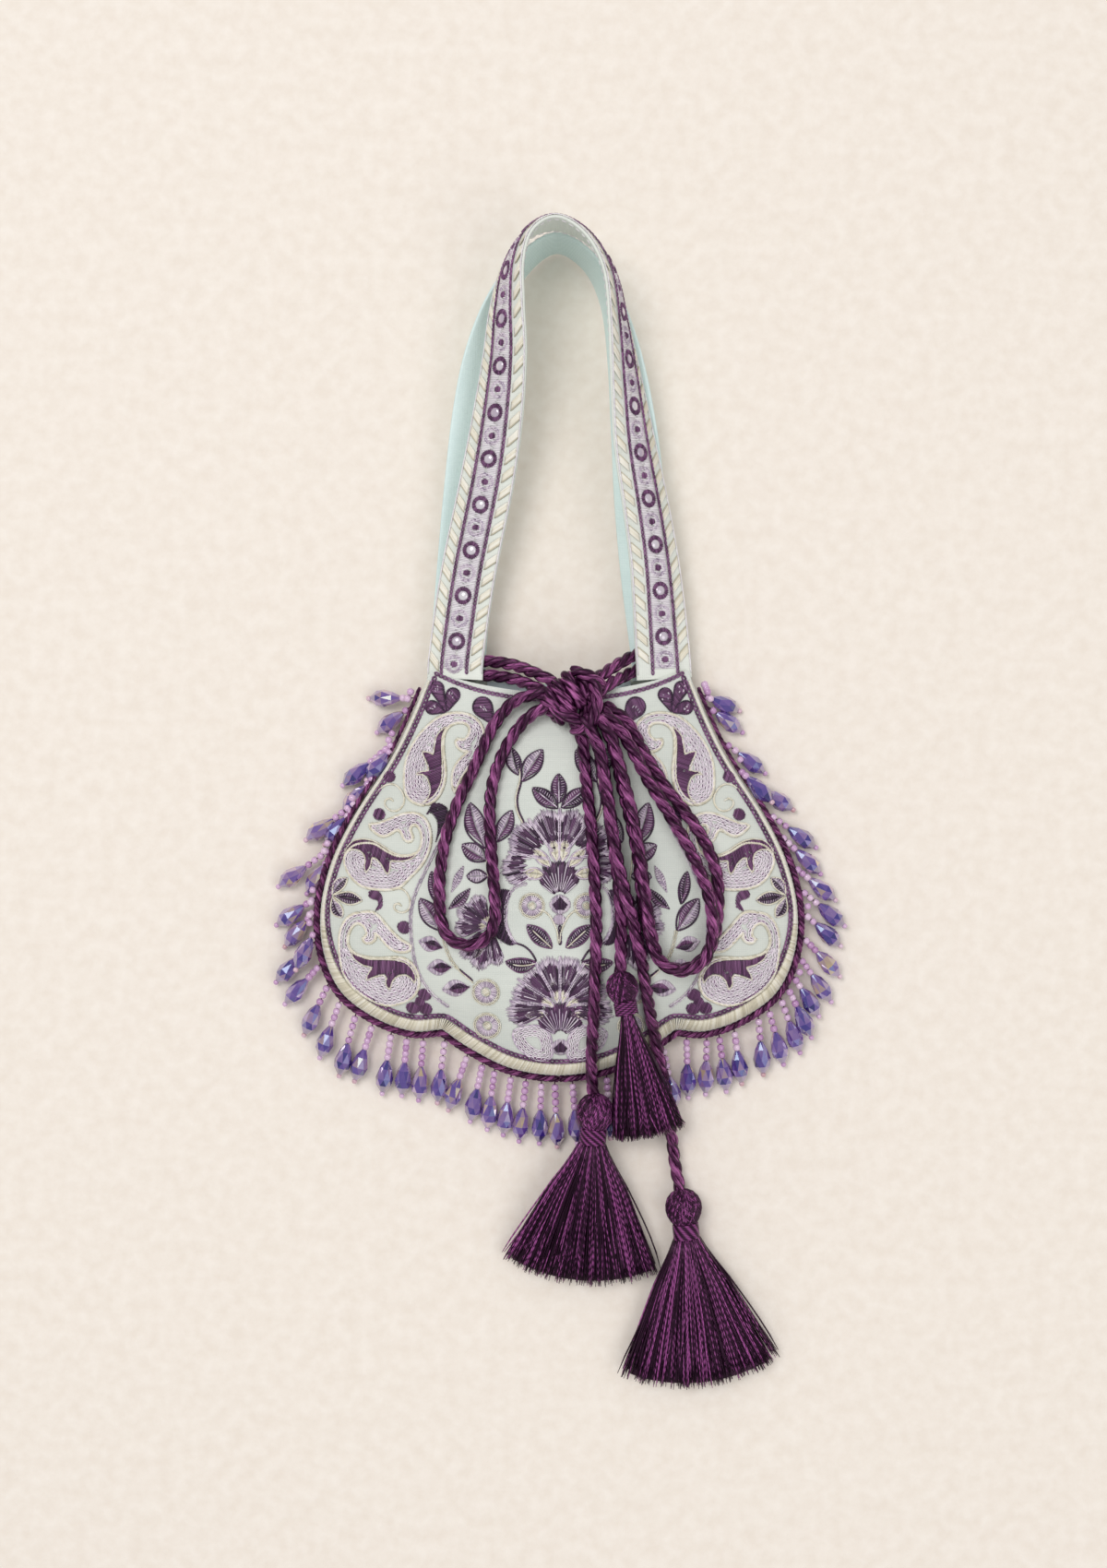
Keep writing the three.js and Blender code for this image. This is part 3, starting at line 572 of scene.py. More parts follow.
def floss(name, stops, roughness=0.42, sheen=0.25, shine=(255, 255, 255), twist=0.0, fibre_streak_and_shade=0.35):
    """Silk thread from dark to light: a tint for each stitch, streaks along it that are fibre tone and,
    when strong, painted highlights and shade, and a period of twist in mm whose bands are painted
    highlights and shade.
    """
    material, tree, shader = surface(
        name, Roughness=roughness, Sheen_Weight=sheen, Sheen_Roughness=0.3, Specular_Tint=srgb(*shine),
    )
    tint = node(tree, "ShaderNodeAttribute", attribute_name="Tint").outputs["Fac"]
    thread = node(tree, "ShaderNodeUVMap", uv_map="Thread").outputs["UV"]
    filament = noise(tree, stretched(tree, thread, FILAMENT_STRETCH), 1.0)
    fibre_streaks_and_shade = maths(tree, "MULTIPLY", maths(tree, "SUBTRACT", filament, 0.5), fibre_streak_and_shade)
    shade = maths(tree, "ADD", maths(tree, "MULTIPLY_ADD", tint, TINT_SPAN, TINT_LEAST), fibre_streaks_and_shade)
    # Diagonal bands along the twist lighten and darken the thread: painted highlights and shade
    if twist:
        start = maths(tree, "MULTIPLY", tint, TWIST_SHADE_SCATTER)
        twist_shading = wave(tree, stretched(tree, thread, (1, 1 / twist, 1)), 1.0, "DIAGONAL", phase=start)
        twist_shading = maths(tree, "MULTIPLY", twist_shading, TWIST_SHADE_SPAN)
        shade = maths(tree, "MULTIPLY", shade, maths(tree, "ADD", twist_shading, TWIST_SHADE_LEAST))
    tree.links.new(ramp(tree, shade, zip(FLOSS_PLACES, stops)), shader.inputs["Base Color"])
    bump(tree, shader, filament, strength=0.4, distance=FILAMENT_DEPTH)
    return material


CLOUD_SIZE = 0.004
CLOUD_SHARE = 0.2
FACET_SHARE = 0.8


def glass(name, stops, **sockets):
    """Beads with a tint for each facet over a ramp of colours; the drops' facets scattered towards gold and
    pale tints are painted reflections of an iridescent coat.
    """
    material, tree, shader = surface(name, **sockets)
    tint = node(tree, "ShaderNodeAttribute", attribute_name="Tint").outputs["Fac"]
    place = node(tree, "ShaderNodeTexCoord").outputs["Object"]
    cloud = maths(tree, "MULTIPLY", noise(tree, place, CLOUD_SIZE, 1.0), CLOUD_SHARE)
    shade = maths(tree, "ADD", maths(tree, "MULTIPLY", tint, FACET_SHARE), cloud)
    tree.links.new(ramp(tree, shade, stops), shader.inputs["Base Color"])
    return material


SILK = cloth("mint_silk", (225, 228, 220), (204, 209, 202), 0.0007)
STRAP_SILK = cloth("strap_silk", (237, 239, 231), (220, 225, 216), 0.0007)
AQUA_SILK = cloth("aqua_silk", (231, 248, 246), (213, 233, 231), 0.0006)
# The lining is a paler copy of the aqua silk: painted light against the shade in the mouth
LINING_SILK_LIGHTENED = cloth("lining_silk_lightened", (238, 249, 253), (222, 238, 245), 0.0006)
PLUM_SHINE = (240, 176, 222)
# The cord's strong streaks are fibre tone and painted highlights and shade of its finer strands
CORD_SILK = floss(
    "plum_cord", [(14, 2, 12), (54, 14, 47), (170, 96, 152)],
    roughness=0.3, sheen=0.0, shine=PLUM_SHINE, fibre_streak_and_shade=2.0,
)
# The tassel's twist bands are painted highlights and shade along each thread
TASSEL_SILK = floss(
    "tassel_silk", [(11, 2, 10), (38, 8, 35), (176, 92, 162)],
    roughness=0.34, sheen=0.0, shine=PLUM_SHINE, twist=1.6,
)
CREAM = floss("cream_floss", [(206, 198, 175), (236, 229, 209), (250, 246, 235)])
PALE = floss("pale_floss", [(226, 219, 225), (244, 238, 242), (255, 252, 253)])
LILAC = floss("lilac_floss", [(164, 144, 172), (214, 197, 213), (252, 242, 249)])
PURPLE = floss("purple_floss", [(66, 32, 66), (114, 68, 110), (156, 108, 152)], sheen=0.15)
PLUM = floss("dark_floss", [(34, 14, 36), (62, 32, 64), (104, 66, 106)], sheen=0.12)
# The gold and near-white stops at the top of the drops' ramp are painted reflections of the coat
DROP_GLASS = glass(
    "violet_glass",
    [(0.0, (30, 18, 90)), (0.25, (68, 46, 142)), (0.5, (120, 86, 168)), (0.7, (164, 130, 178)),
     (0.84, (186, 158, 150)), (0.94, (214, 190, 138)), (1.0, (220, 220, 242))],
    Roughness=0.03, Transmission_Weight=0.28, IOR=1.6, Coat_Weight=1.0, Coat_Roughness=0.02, Coat_IOR=1.6,
    Thin_Film_Thickness=330.0, Thin_Film_IOR=1.4,
)
# The mirror studs' pale colours, varied from stud to stud, are painted reflections
MIRROR_PAINTED_REFLECTION = glass(
    "mirror_stud_painted_reflection",
    [(0.1, (136, 112, 140)), (0.5, (186, 170, 188)), (0.9, (228, 222, 228))],
    Roughness=0.16, Metallic=0.3,
)
SEED_GLASS = glass(
    "lilac_glass",
    [(0.1, (186, 130, 186)), (0.5, (222, 180, 220)), (0.85, (240, 212, 234)), (1.0, (186, 112, 88))],
    Roughness=0.08, Transmission_Weight=0.12, IOR=1.5, Coat_Weight=1.0, Coat_Roughness=0.04,
)


# Camera as in the photograph: straight above, the handles at the top
CAMERA_PLACE = (-0.0023, 0.0361, 0.900)
CAMERA_LENS = 49.3
CAMERA_SENSOR = 36
camera = bpy.data.objects.new("camera", bpy.data.cameras.new("camera"))
camera.data.lens = CAMERA_LENS
camera.data.sensor_width = CAMERA_SENSOR
camera.location = CAMERA_PLACE
bpy.context.scene.collection.objects.link(camera)
bpy.context.scene.camera = camera


# Drawcord, bow and tails
CORD_LAY = 17.5
ROUTE_STEPS = 40


def cord_route(name):
    rows = np.array(CORDS[name], float)
    on_bag = inside(rows[:, :2], SEAM) & (not name.startswith("drawcord"))
    rest = np.where(on_bag, front_z(rows[:, 0], rows[:, 1]), 0)
    rows[:, 2] += rest + CORD_R
    return curve(rows, ROUTE_STEPS * len(rows))


def tassel_turn(sizes):
    """Rotation of a tassel's own directions, as rows, into the bag's frame."""
    angle = math.radians(sizes["heading"])
    c, s = math.cos(angle), math.sin(angle)
    return np.array([[c, s, 0], [-s, c, 0], [0, 0, 1]])


def tassel_place(sizes, points):
    """Points of a tassel's own frame, skirt towards -Y, in the bag's frame."""
    return points @ tassel_turn(sizes) + (sizes["x"], sizes["y"], sizes["z"])


# Head and neck, in radii of the head: radius and place along the axis, ribs of floss and their slant
HEAD_PROFILE = np.array([
    (0.05, 1.0), (0.34, 0.94), (0.62, 0.78), (0.85, 0.52), (0.97, 0.18), (0.98, -0.14),
    (0.92, -0.44), (0.78, -0.72), (0.64, -0.92), (0.6, -1.12),
])
HEAD_CORE = (0.96, 1)
HEAD_SIDES = 24
HEAD_TINT = 0.1
HEAD_RIBS = ((54, 1.2), (30, -1.4))
RIB_R = 0.048
RIB_TAPER = np.sin(np.linspace(0.35, 2.6, len(HEAD_PROFILE)))
RIB_WANDER = 0.05
RIB_SIDES = 6
RIB_UP = (1, 0.7, 1)
RIB_TINTS = (0.2, 0.8)
NECK_TURNS = 9
NECK_STEPS = 26
NECK_OUT = 0.7
NECK_ENDS = (-0.98, -1.8)
NECK_R = 0.055
NECK_TINT = 0.6


def tassel_head(sizes):
    """Floss laid from pole to neck over a round core, and wound round the neck."""
    r = sizes["r"]
    turn = tassel_turn(sizes)
    core = revolve(HEAD_PROFILE * r * HEAD_CORE, HEAD_SIDES)
    parts = [grid(tassel_place(sizes, core), closed=True, tint=HEAD_TINT)]
    for ribs, slant in HEAD_RIBS:
        lines = revolve(HEAD_PROFILE * r, ribs, slant).transpose(1, 0, 2)
        lines = lines + rng.normal(0, RIB_WANDER, lines.shape)
        ups = unit(lines * RIB_UP) @ turn
        tint = rng.uniform(*RIB_TINTS, ribs)
        parts.append(tubes(tassel_place(sizes, lines), RIB_R * r * RIB_TAPER, RIB_SIDES, ups, tint=tint))
    angle = np.linspace(0, TAU * NECK_TURNS, NECK_STEPS * NECK_TURNS)
    level = np.linspace(*NECK_ENDS, len(angle))
    neck = r * np.stack([NECK_OUT * np.cos(angle), level, NECK_OUT * np.sin(angle)], axis=-1)
    neck = tassel_place(sizes, neck[None])
    return parts + [tubes(neck, NECK_R * r, RIB_SIDES, np.array([0, 1, 0]) @ turn, tint=[NECK_TINT])]


# Skirt: its start and half thickness in radii of the head, its fan at the start, its threads
SKIRT_START = 1.6
SKIRT_SHARES = [0, 0.22, 0.55, 0.85, 1]
SKIRT_HALVES = [0.62, 0.74, 0.72, 0.66, 0.56]
SKIRT_FAN_START = 0.82
SKIRT_FAN_END = 1 / 3
HEART_SIDES = 24
HEART_RINGS = 12
HEART_END = 0.96
HEART_ACROSS = 0.9
HEART_OVER = 0.72
THREADS = 620
THREAD_STEPS = 9
THREAD_SIDES = 3
THREADS_ABOVE = 0.72
THREAD_DEPTHS = (0.7, 1.0)
THREAD_LENGTHS = (0.93, 1.0)
THREAD_WIDTH = 0.38
THREAD_END = 0.4
THREAD_LOWEST = 0.4
THREAD_LIGHTEST = 1.15
THREAD_TINTS = (0.8, 1.6)
STRAY_SHARE = 0.025
STRAY_OUT = 1.06
STRAY_SWAY = 2.2
SWAY_REACH = (1.1, 0.2, 0.4)
SWAY_WAVES = (2, 5)
SWAY_GROWTH = 1.3


def skirt_points(sizes, across, over, share, length):
    """Places in the skirt: across from -1 to 1, over from -1 below to 1 above, share down it."""
    r = sizes["r"]
    reach = lerp(SKIRT_START * r, length, share)
    fan = sizes["fan"]
    turn = np.radians(lerp(SKIRT_FAN_START * fan, fan, np.minimum(share / SKIRT_FAN_END, 1))) * across
    half = r * np.interp(share, SKIRT_SHARES, SKIRT_HALVES)
    level = lerp(sizes["z"], sizes["hem"], share) - sizes["z"]
    return np.stack([reach * np.sin(turn), -reach * np.cos(turn), level + half * over], axis=-1)


def tassel_skirt(sizes):
    """A heart tinted darkest, as painted shade inside the skirt, and fine threads over it."""
    around = TAU * np.arange(HEART_SIDES) / HEART_SIDES
    share = np.linspace(0, HEART_END, HEART_RINGS)[:, None]
    across, over = HEART_ACROSS * np.cos(around), HEART_OVER * np.sin(around)
    heart = skirt_points(sizes, across, over, share, sizes["length"])
    across = rng.uniform(-1, 1, THREADS)
    above = np.where(rng.random(THREADS) < THREADS_ABOVE, 1, -1)
    over = np.sqrt(1 - across**2) * above * rng.uniform(*THREAD_DEPTHS, THREADS)
    length = sizes["length"] * rng.uniform(*THREAD_LENGTHS, THREADS)
    stray = rng.random(THREADS) < STRAY_SHARE
    across = np.where(stray, across * STRAY_OUT, across)
    share = np.linspace(0, 1, THREAD_STEPS)
    lines = skirt_points(sizes, across[:, None], over[:, None], share, length[:, None])
    sway = rng.normal(0, 1, (THREADS, 1, 3))
    sway = sway * np.sin(share * rng.uniform(*SWAY_WAVES, (THREADS, 1)))[..., None]
    sway = sway * np.where(stray, STRAY_SWAY, 1.0)[:, None, None]
    lines = lines + sway * SWAY_REACH * (share**SWAY_GROWTH)[:, None]
    lines[..., 2] = np.maximum(lines[..., 2], THREAD_LOWEST - sizes["z"])
    width = THREAD_WIDTH * np.append(np.ones(THREAD_STEPS - 1), THREAD_END)
    tint = THREAD_LIGHTEST * rng.beta(*THREAD_TINTS, THREADS)
    return [
        # The heart's darkest tint is painted shade between the threads
        grid(tassel_place(sizes, heart)[:, ::-1], closed=True, tint=0.0),
        tubes(tassel_place(sizes, lines), width, THREAD_SIDES, tint=tint),
    ]


def tassel(name, sizes):
    parts = tassel_head(sizes) + tassel_skirt(sizes)
    return piece(f"{name}_silk", parts, TASSEL_SILK, "cord_silk", [name])


tassels = {name: tassel(name, sizes) for name, sizes in TASSELS.items()}
for name in CORDS:
    made, line = rope(cord_route(name), CORD_R, CORD_LAY)
    cord = piece(f"{name}_rope", [made], CORD_SILK, "cord_silk", [name])
    run_length(line) * MM


# Knot: wraps across a bundle that runs up to the right, and strands over and beside them
KNOT_LEVEL_Y = 68
KNOT_HEADING = 38
KNOT_TURNS = 3.4
KNOT_START = -0.3
KNOT_STEPS = 180
KNOT_COIL = (2.5, 71.5)
COIL_HALF_LENGTH = 8.5
COIL_HALF_WIDTH = 6.4
COIL_HALF_HEIGHT = 4.4
# Routes from the knot's middle: x, y, z
KNOT_STRANDS = [
    [(11, 8, -1), (13.5, 3, 3.5), (14, -4, 5.5), (12, -11, 4.5), (8, -14, 1), (4, -13, -2)],
    [(-10, 1, -1), (-5, -3, 3), (2, -8, 4), (8, -11, 2), (12, -14, -2)],
    [(4, 10, -2), (8, 9, 1.5), (13, 7, 1), (17, 3, -1)],
    [(8, 9, -2.5), (9.5, 5, -0.5), (10.5, -1, -0.5), (10, -6, -1.5), (8, -11, -2.5)],
]
STRAND_STEPS = 80


def knot():
    z = float(front_z(KNOT_X, KNOT_LEVEL_Y)) + KNOT_RISE
    heading = math.radians(KNOT_HEADING)
    axis = np.array([math.cos(heading), math.sin(heading), 0])
    cross = np.array([-axis[1], axis[0], 0])
    angle = TAU * np.linspace(KNOT_START, KNOT_START + KNOT_TURNS, KNOT_STEPS)[:, None]
    shift = np.linspace(-COIL_HALF_LENGTH, COIL_HALF_LENGTH, KNOT_STEPS)[:, None]
    coil = np.array([*KNOT_COIL, z]) + axis * shift - cross * COIL_HALF_WIDTH * np.cos(angle)
    coil = coil + UP * COIL_HALF_HEIGHT * np.sin(angle)
    parts = [rope(coil, CORD_R, CORD_LAY, up=axis)[0]]
    for rows in KNOT_STRANDS:
        route = curve(np.array(rows) + (KNOT_X, KNOT_Y, z), STRAND_STEPS)
        parts.append(rope(route, CORD_R, CORD_LAY)[0])
    return piece("bow_knot_rope", parts, CORD_SILK, "cord_silk", ["bow_knot"])


knot()


# Pouch: front, back and the lining in the mouth
RING_CROWDING = 1.6
OUTLINE_SIDE = 84
OUTLINE_SCALLOP = 80
OUTLINE_MOUTH = 60
FRONT_RINGS = 46
BACK_RINGS = 18
LINING_RINGS = 16
LINING_COLUMNS = 40
LINING_HALF = 30
LINING_DEPTH = 26
LINING_WALL = 1
LINING_BELOW = 0.6
LINING_CENTRE = (0, 65)
CUT_STEPS = 200


def panel_outline(dip):
    """The seam, and the mouth edge from its right corner to its left one."""
    across = 1 - 2 * np.arange(1, OUTLINE_MOUTH) / OUTLINE_MOUTH
    mouth = np.stack([MOUTH_HALF * across, MOUTH_Y - dip * (1 - across**2)], axis=1)
    return np.vstack([seam_points(OUTLINE_SIDE, OUTLINE_SCALLOP), mouth])


def shell(outline, centre, rings, upper, lower):
    """Closed cloth wall between two height functions, in rings about a centre."""
    shares = 1 - (1 - np.linspace(0, 1, rings)) ** RING_CROWDING
    flat = lerp(np.array(centre, float), outline, shares[:, None, None])
    top, under = (np.dstack([flat, height(flat[..., 0], flat[..., 1])]) for height in (upper, lower))
    rim = np.stack([top[-1], under[-1]])
    return [grid(points, closed=True) for points in (top, under[:, ::-1], rim)]


front = piece(
    "front_cloth",
    shell(panel_outline(FRONT_DIP), PANEL_CENTRE, FRONT_RINGS, cloth_z, lambda x, y: cloth_z(x, y) - WALL),
    SILK, "silk", ["front_panel"],
)
back = piece(
    "back_cloth",
    shell(panel_outline(BACK_DIP), PANEL_CENTRE, BACK_RINGS, lambda x, y: back_z(x, y) + WALL, back_z),
    SILK, "silk", ["back_panel"],
)


def lining_outline():
    x = np.linspace(-LINING_HALF, LINING_HALF, LINING_COLUMNS)
    low = np.stack([x, np.full(len(x), MOUTH_Y - BACK_DIP - LINING_DEPTH)], axis=1)
    high = np.stack([x, MOUTH_Y - BACK_DIP * (1 - (x / MOUTH_HALF) ** 2) - LINING_BELOW], axis=1)
    return np.vstack([low, high[::-1]])


def lining_z(x, y):
    """Underside of the lining, just over the back's inner face."""
    return back_z(x, y) + WALL + GAP


def lining_top(x, y):
    return lining_z(x, y) + LINING_WALL


lining = piece(
    "lining_cloth",
    shell(lining_outline(), LINING_CENTRE, LINING_RINGS, lining_top, lining_z),
    LINING_SILK_LIGHTENED, "lining", ["mouth_lining"],
)


def panel_cut(height, dip):
    """Width and length of a panel's cloth, measured over its swell."""
    x = np.linspace(-SEAM[:, 0].max(), SEAM[:, 0].max(), CUT_STEPS)
    across = np.column_stack([x, np.full(len(x), PANEL_WIDEST_Y), height(x, PANEL_WIDEST_Y)])
    y = np.linspace(SEAM[:, 1].min(), MOUTH_Y - dip, CUT_STEPS)
    down = np.column_stack([np.zeros(len(y)), y, height(0, y)])
    return run_length(across) * MM, run_length(down) * MM


panel_cut(front_z, FRONT_DIP)
panel_cut(back_z, BACK_DIP)


# Embroidery: stitches are laid on flat charts, then set on the cloth
MAP_STEP = 0.5
MAP_HALF_X = 106
MAP_HALF_Y = 92
map_x = np.arange(-MAP_HALF_X, MAP_HALF_X + MAP_STEP, MAP_STEP)
map_y = np.arange(-MAP_HALF_Y, MAP_HALF_Y + MAP_STEP, MAP_STEP)
cloth_map = cloth_z(map_x[None], map_y[:, None])
slope_y_map, slope_x_map = np.gradient(cloth_map, MAP_STEP)


def look_up(table, x, y):
    """Value between the four nearest points of a map of the front."""
    column = (np.asarray(x) - map_x[0]) / MAP_STEP
    row = (np.asarray(y) - map_y[0]) / MAP_STEP
    i = np.clip(column.astype(int), 0, len(map_x) - 2)
    j = np.clip(row.astype(int), 0, len(map_y) - 2)
    f, g = column - i, row - j
    low = lerp(table[j, i], table[j, i + 1], f)
    high = lerp(table[j + 1, i], table[j + 1, i + 1], f)
    return lerp(low, high, g)


def on_front(x, y, height):
    """Points at a height over the front, and the cloth's normals there."""
    slopes = [-look_up(slope_x_map, x, y), -look_up(slope_y_map, x, y), np.ones_like(x)]
    normal = unit(np.stack(slopes, axis=-1))
    place = np.stack([x, y, look_up(cloth_map, x, y)], axis=-1)
    return place + normal * height[..., None], normal


stitches = {"cream": [], "lilac": [], "purple": [], "plum": [], "pale": []}
STITCH_SIDES = 3
STITCH_SPREAD = 1.12
STITCH_FLAT = 0.72


def sew(colour, lines, height, radius, place=on_front, low=0.1, high=0.9):
    """Stitches of one colour along flat lines, count by steps by 2."""
    lines = np.asarray(lines, float)
    if len(lines):
        points, normal = place(lines[..., 0], lines[..., 1], np.broadcast_to(height, lines.shape[:2]))
        tint = rng.uniform(low, high, len(lines))
        radius = STITCH_SPREAD * np.asarray(radius)
        stitches[colour].append(tubes(points, radius, STITCH_SIDES, normal, STITCH_FLAT, tint))


STITCH_SHARES = np.array([0, 0.16, 0.84, 1])
STITCH_ARCH = np.array([0.1, 0.9, 0.9, 0.1])
STITCH_WIDTHS = np.array([0.5, 1.05, 1.05, 0.5])
FLOSS_R = 0.34
SATIN_STAGGER = 1.5


def straight(colour, starts, ends, lift=0.45, radius=FLOSS_R, place=on_front, **tints):
    """Straight stitches, arched over the cloth."""
    starts, ends = np.asarray(starts, float), np.asarray(ends, float)
    if len(starts):
        lines = lerp(starts[:, None], ends[:, None], STITCH_SHARES[:, None])
        sew(colour, lines, lift * STITCH_ARCH, radius * STITCH_WIDTHS, place, **tints)


def satin(colour, outline, angle, pitch=0.56, longest=8.0, lift=0.45, place=on_front):
    """Rows of floss side by side across a closed outline, at an angle in degrees."""
    c, s = math.cos(math.radians(angle)), math.sin(math.radians(angle))
    frame_2d = np.array([[c, -s], [s, c]])
    p = np.asarray(outline, float) @ frame_2d
    q = np.roll(p, -1, axis=0)
    starts, ends = [], []
    for y in np.arange(p[:, 1].min() + pitch / 2, p[:, 1].max(), pitch):
        hit = (p[:, 1] > y) != (q[:, 1] > y)
        share = (y - p[hit, 1]) / (q[hit, 1] - p[hit, 1])
        x = np.sort(lerp(p[hit, 0], q[hit, 0], share))
        for a, b in zip(x[::2], x[1::2]):
            count = max(1, math.ceil((b - a) / longest))
            cuts = np.linspace(a, b, count + 1)
            cuts[1:-1] += rng.uniform(-SATIN_STAGGER, SATIN_STAGGER, count - 1)
            for from_x, to_x in zip(cuts, cuts[1:]):
                starts.append((from_x, y))
                ends.append((to_x, y))
    if starts:
        straight(colour, np.array(starts) @ frame_2d.T, np.array(ends) @ frame_2d.T, lift, place=place)


LINK_SHARES = np.array([-0.05, 0.33, 0.83, 1.12])
LINK_BULGE = np.array([0.15, 0.97, 0.85, 0.1])
LINK_ARCH = np.array([0.15, 0.48, 0.46, 0.15])
HOLE_SHADE_SHARES = np.array([0.25, 0.55, 0.85])
HOLE_SHADE_SHARE = 0.42
HOLE_SHADE_HEIGHT = 0.42
HOLE_SHADE_R = np.array([0.14, 0.26, 0.14])


def chain(colour, path, pitch=1.9, half=0.5, radius=0.3, place=on_front, hole_shade=None, **tints):
    """Chain stitch along a path: each link is two threads that part and meet, some over a dark dash in the
    link's middle as painted shade of its hole.
    """
    p = spaced(path, pitch)
    along = p[1:] - p[:-1]
    normal = unit(left_of(along))
    for side in (-1, 1):
        bulge = side * half * LINK_BULGE[:, None]
        lines = p[:-1, None] + along[:, None] * LINK_SHARES[:, None] + normal[:, None] * bulge
        sew(colour, lines, LINK_ARCH, radius, place, **tints)
    # Dark dashes in the middle of some links are painted shade in the links' holes
    if hole_shade:
        shown = rng.random(len(along)) < HOLE_SHADE_SHARE
        lines = p[:-1][shown, None] + along[shown, None] * HOLE_SHADE_SHARES[:, None]
        sew(hole_shade, lines, HOLE_SHADE_HEIGHT, HOLE_SHADE_R, place)


STEM_SLANT = 0.48
STEM_FEWEST = 4


def stem(colour, path, pitch=1.0, radius=0.38, place=on_front, lift=0.45):
    """Stem stitch along a path: short slanting stitches, each beside the last."""
    p = spaced(path, pitch)
    if len(p) < STEM_FEWEST:
        return
    along = unit(np.gradient(p, axis=0))
    slant = STEM_SLANT * radius * left_of(along)
    straight(colour, (p + slant)[:-2], (p - slant)[2:], lift, radius, place)


SMOOTH_STEPS = 12
SMOOTH_WRAP = 3


def closed(points):
    """A smooth closed outline through points."""
    p = np.asarray(points, float)
    wrapped = np.vstack([p[-SMOOTH_WRAP:], p, p[:SMOOTH_WRAP]])
    line = curve(wrapped, SMOOTH_STEPS * (len(wrapped) - 1))
    return line[SMOOTH_WRAP * SMOOTH_STEPS: (1 - SMOOTH_WRAP) * SMOOTH_STEPS - 1]


def joined(outline):
    """An outline with its first point again at the end."""
    return np.vstack([outline, outline[:1]])


INSET_STEP = 0.4
INSET_PROBE = 0.2
INSET_SLACK = 0.12
SHORTEST_ROW = 5
FILL_FIRST = 0.95
# The fill's purple dashes are painted shade in the links' holes
FILL_CHAIN = dict(pitch=1.9, half=0.46, radius=0.33, hole_shade="purple", low=0.7, high=1.5)


def stretches(row, kept):
    """The stretches of a row of points that are kept, without the shortest."""
    edges = np.flatnonzero(np.diff(np.concatenate([[0], kept.astype(int), [0]])))
    for a, b in zip(edges[::2], edges[1::2]):
        if b - a > SHORTEST_ROW:
            yield row[a:b]


def inset_rows(outline, gap, first, deepest):
    """Lines inside a closed outline that run along it, a gap apart."""
    line = spaced(joined(outline), INSET_STEP)[:-1]
    along = unit(np.roll(line, -1, axis=0) - np.roll(line, 1, axis=0))
    normal = left_of(along)
    if inside(line + INSET_PROBE * normal, line).mean() < 0.5:
        normal = -normal
    depth = first
    while depth < deepest:
        row = line + normal * depth
        clear = np.linalg.norm(row[:, None] - line, axis=2).min(axis=1)
        good = (clear > depth - INSET_SLACK) & inside(row, line)
        if not good.any():
            return
        start = 0 if good.all() else int(np.argmin(good))
        yield from stretches(np.roll(row, -start, axis=0), np.roll(good, -start))
        depth += gap


def chain_fill(colour, outline, bare=None, gap=1.3, deepest=40.0):
    """Rows of chain stitch that follow an outline, left out where another outline lies."""
    for row in inset_rows(outline, gap, FILL_FIRST, deepest):
        shown = np.ones(len(row), bool) if bare is None else ~inside(row, bare)
        for stretch in stretches(row, shown):
            chain(colour, stretch, **FILL_CHAIN)


DISC_SIDES = 28


def disc(centre, radius):
    return np.asarray(centre) + radius * spokes(TAU * np.arange(DISC_SIDES) / DISC_SIDES)


def ring(colour, centre, inner, outer, place=on_front, pitch=0.6, lift=0.45):
    """Stitches laid like spokes between two circles."""
    count = int(TAU * (inner + outer) / 2 / pitch)
    spoke = spokes(TAU * np.arange(count) / count)
    straight(colour, centre + inner * spoke, centre + outer * spoke, lift, place=place)


LEAF_ENDS = (0.02, 0.98)
LEAF_PITCH = 0.55
LEAF_FEWEST = 6
LEAF_FULLNESS = 0.85
LEAF_LEAN = 0.14
LEAF_FILL = 0.95
LEAF_EDGE = dict(pitch=0.9, radius=0.36)
MIDRIB_SHARE = 0.8
MIDRIB = dict(pitch=0.9, radius=0.28, lift=0.75)


def leaf_sides(base, tip, half, peak, bow):
    """Midrib of a leaf and its two edges; peak is where it is widest, bow its sideways curve."""
    axis = tip - base
    length = np.linalg.norm(axis)
    side = np.array([-axis[1], axis[0]]) / length
    t = np.linspace(*LEAF_ENDS, max(LEAF_FEWEST, int(length / LEAF_PITCH)))
    swollen = np.sin(math.pi * t ** (math.log(0.5) / math.log(peak)))
    rib = base + axis * t[:, None] + side * (bow * length * np.sin(math.pi * t))[:, None]
    return t, rib, axis, side, half * swollen ** LEAF_FULLNESS


# Thin stitches of a second colour over a leaf's floss
HATCHES = {"plum": "lilac", "purple": "lilac", "lilac": "plum"}
HATCH_FROM = 0.3
HATCH_TO = 0.85
HATCH_LEAN = 0.6
HATCH_LIFT = 0.7
HATCH_R = 0.17


def leaf(base, tip, half, fills, edge="plum", peak=0.5, bow=0.0, midrib=None, lift=0.45, hatched=True):
    """Leaf with slanting stitches on each side of its midrib, and an outline."""
    t, rib, axis, side, wide = leaf_sides(base, tip, half, peak, bow)
    lean = LEAF_LEAN * axis * (1 - t[:, None])
    for sign, colour in zip((-1, 1), fills):
        out = sign * side * wide[:, None]
        straight(colour, rib, rib + lean + LEAF_FILL * out, lift)
        if hatched and colour in HATCHES:
            near = rib + lean * HATCH_LEAN + out * HATCH_FROM
            far = rib + lean + out * HATCH_TO
            straight(HATCHES[colour], near[::2], far[::2], HATCH_LIFT, HATCH_R)
        if edge:
            stem(edge, np.vstack([[base], rib + out, [tip]]), **LEAF_EDGE)
    if midrib:
        stem(midrib, rib[: int(MIDRIB_SHARE * len(rib))], **MIDRIB)


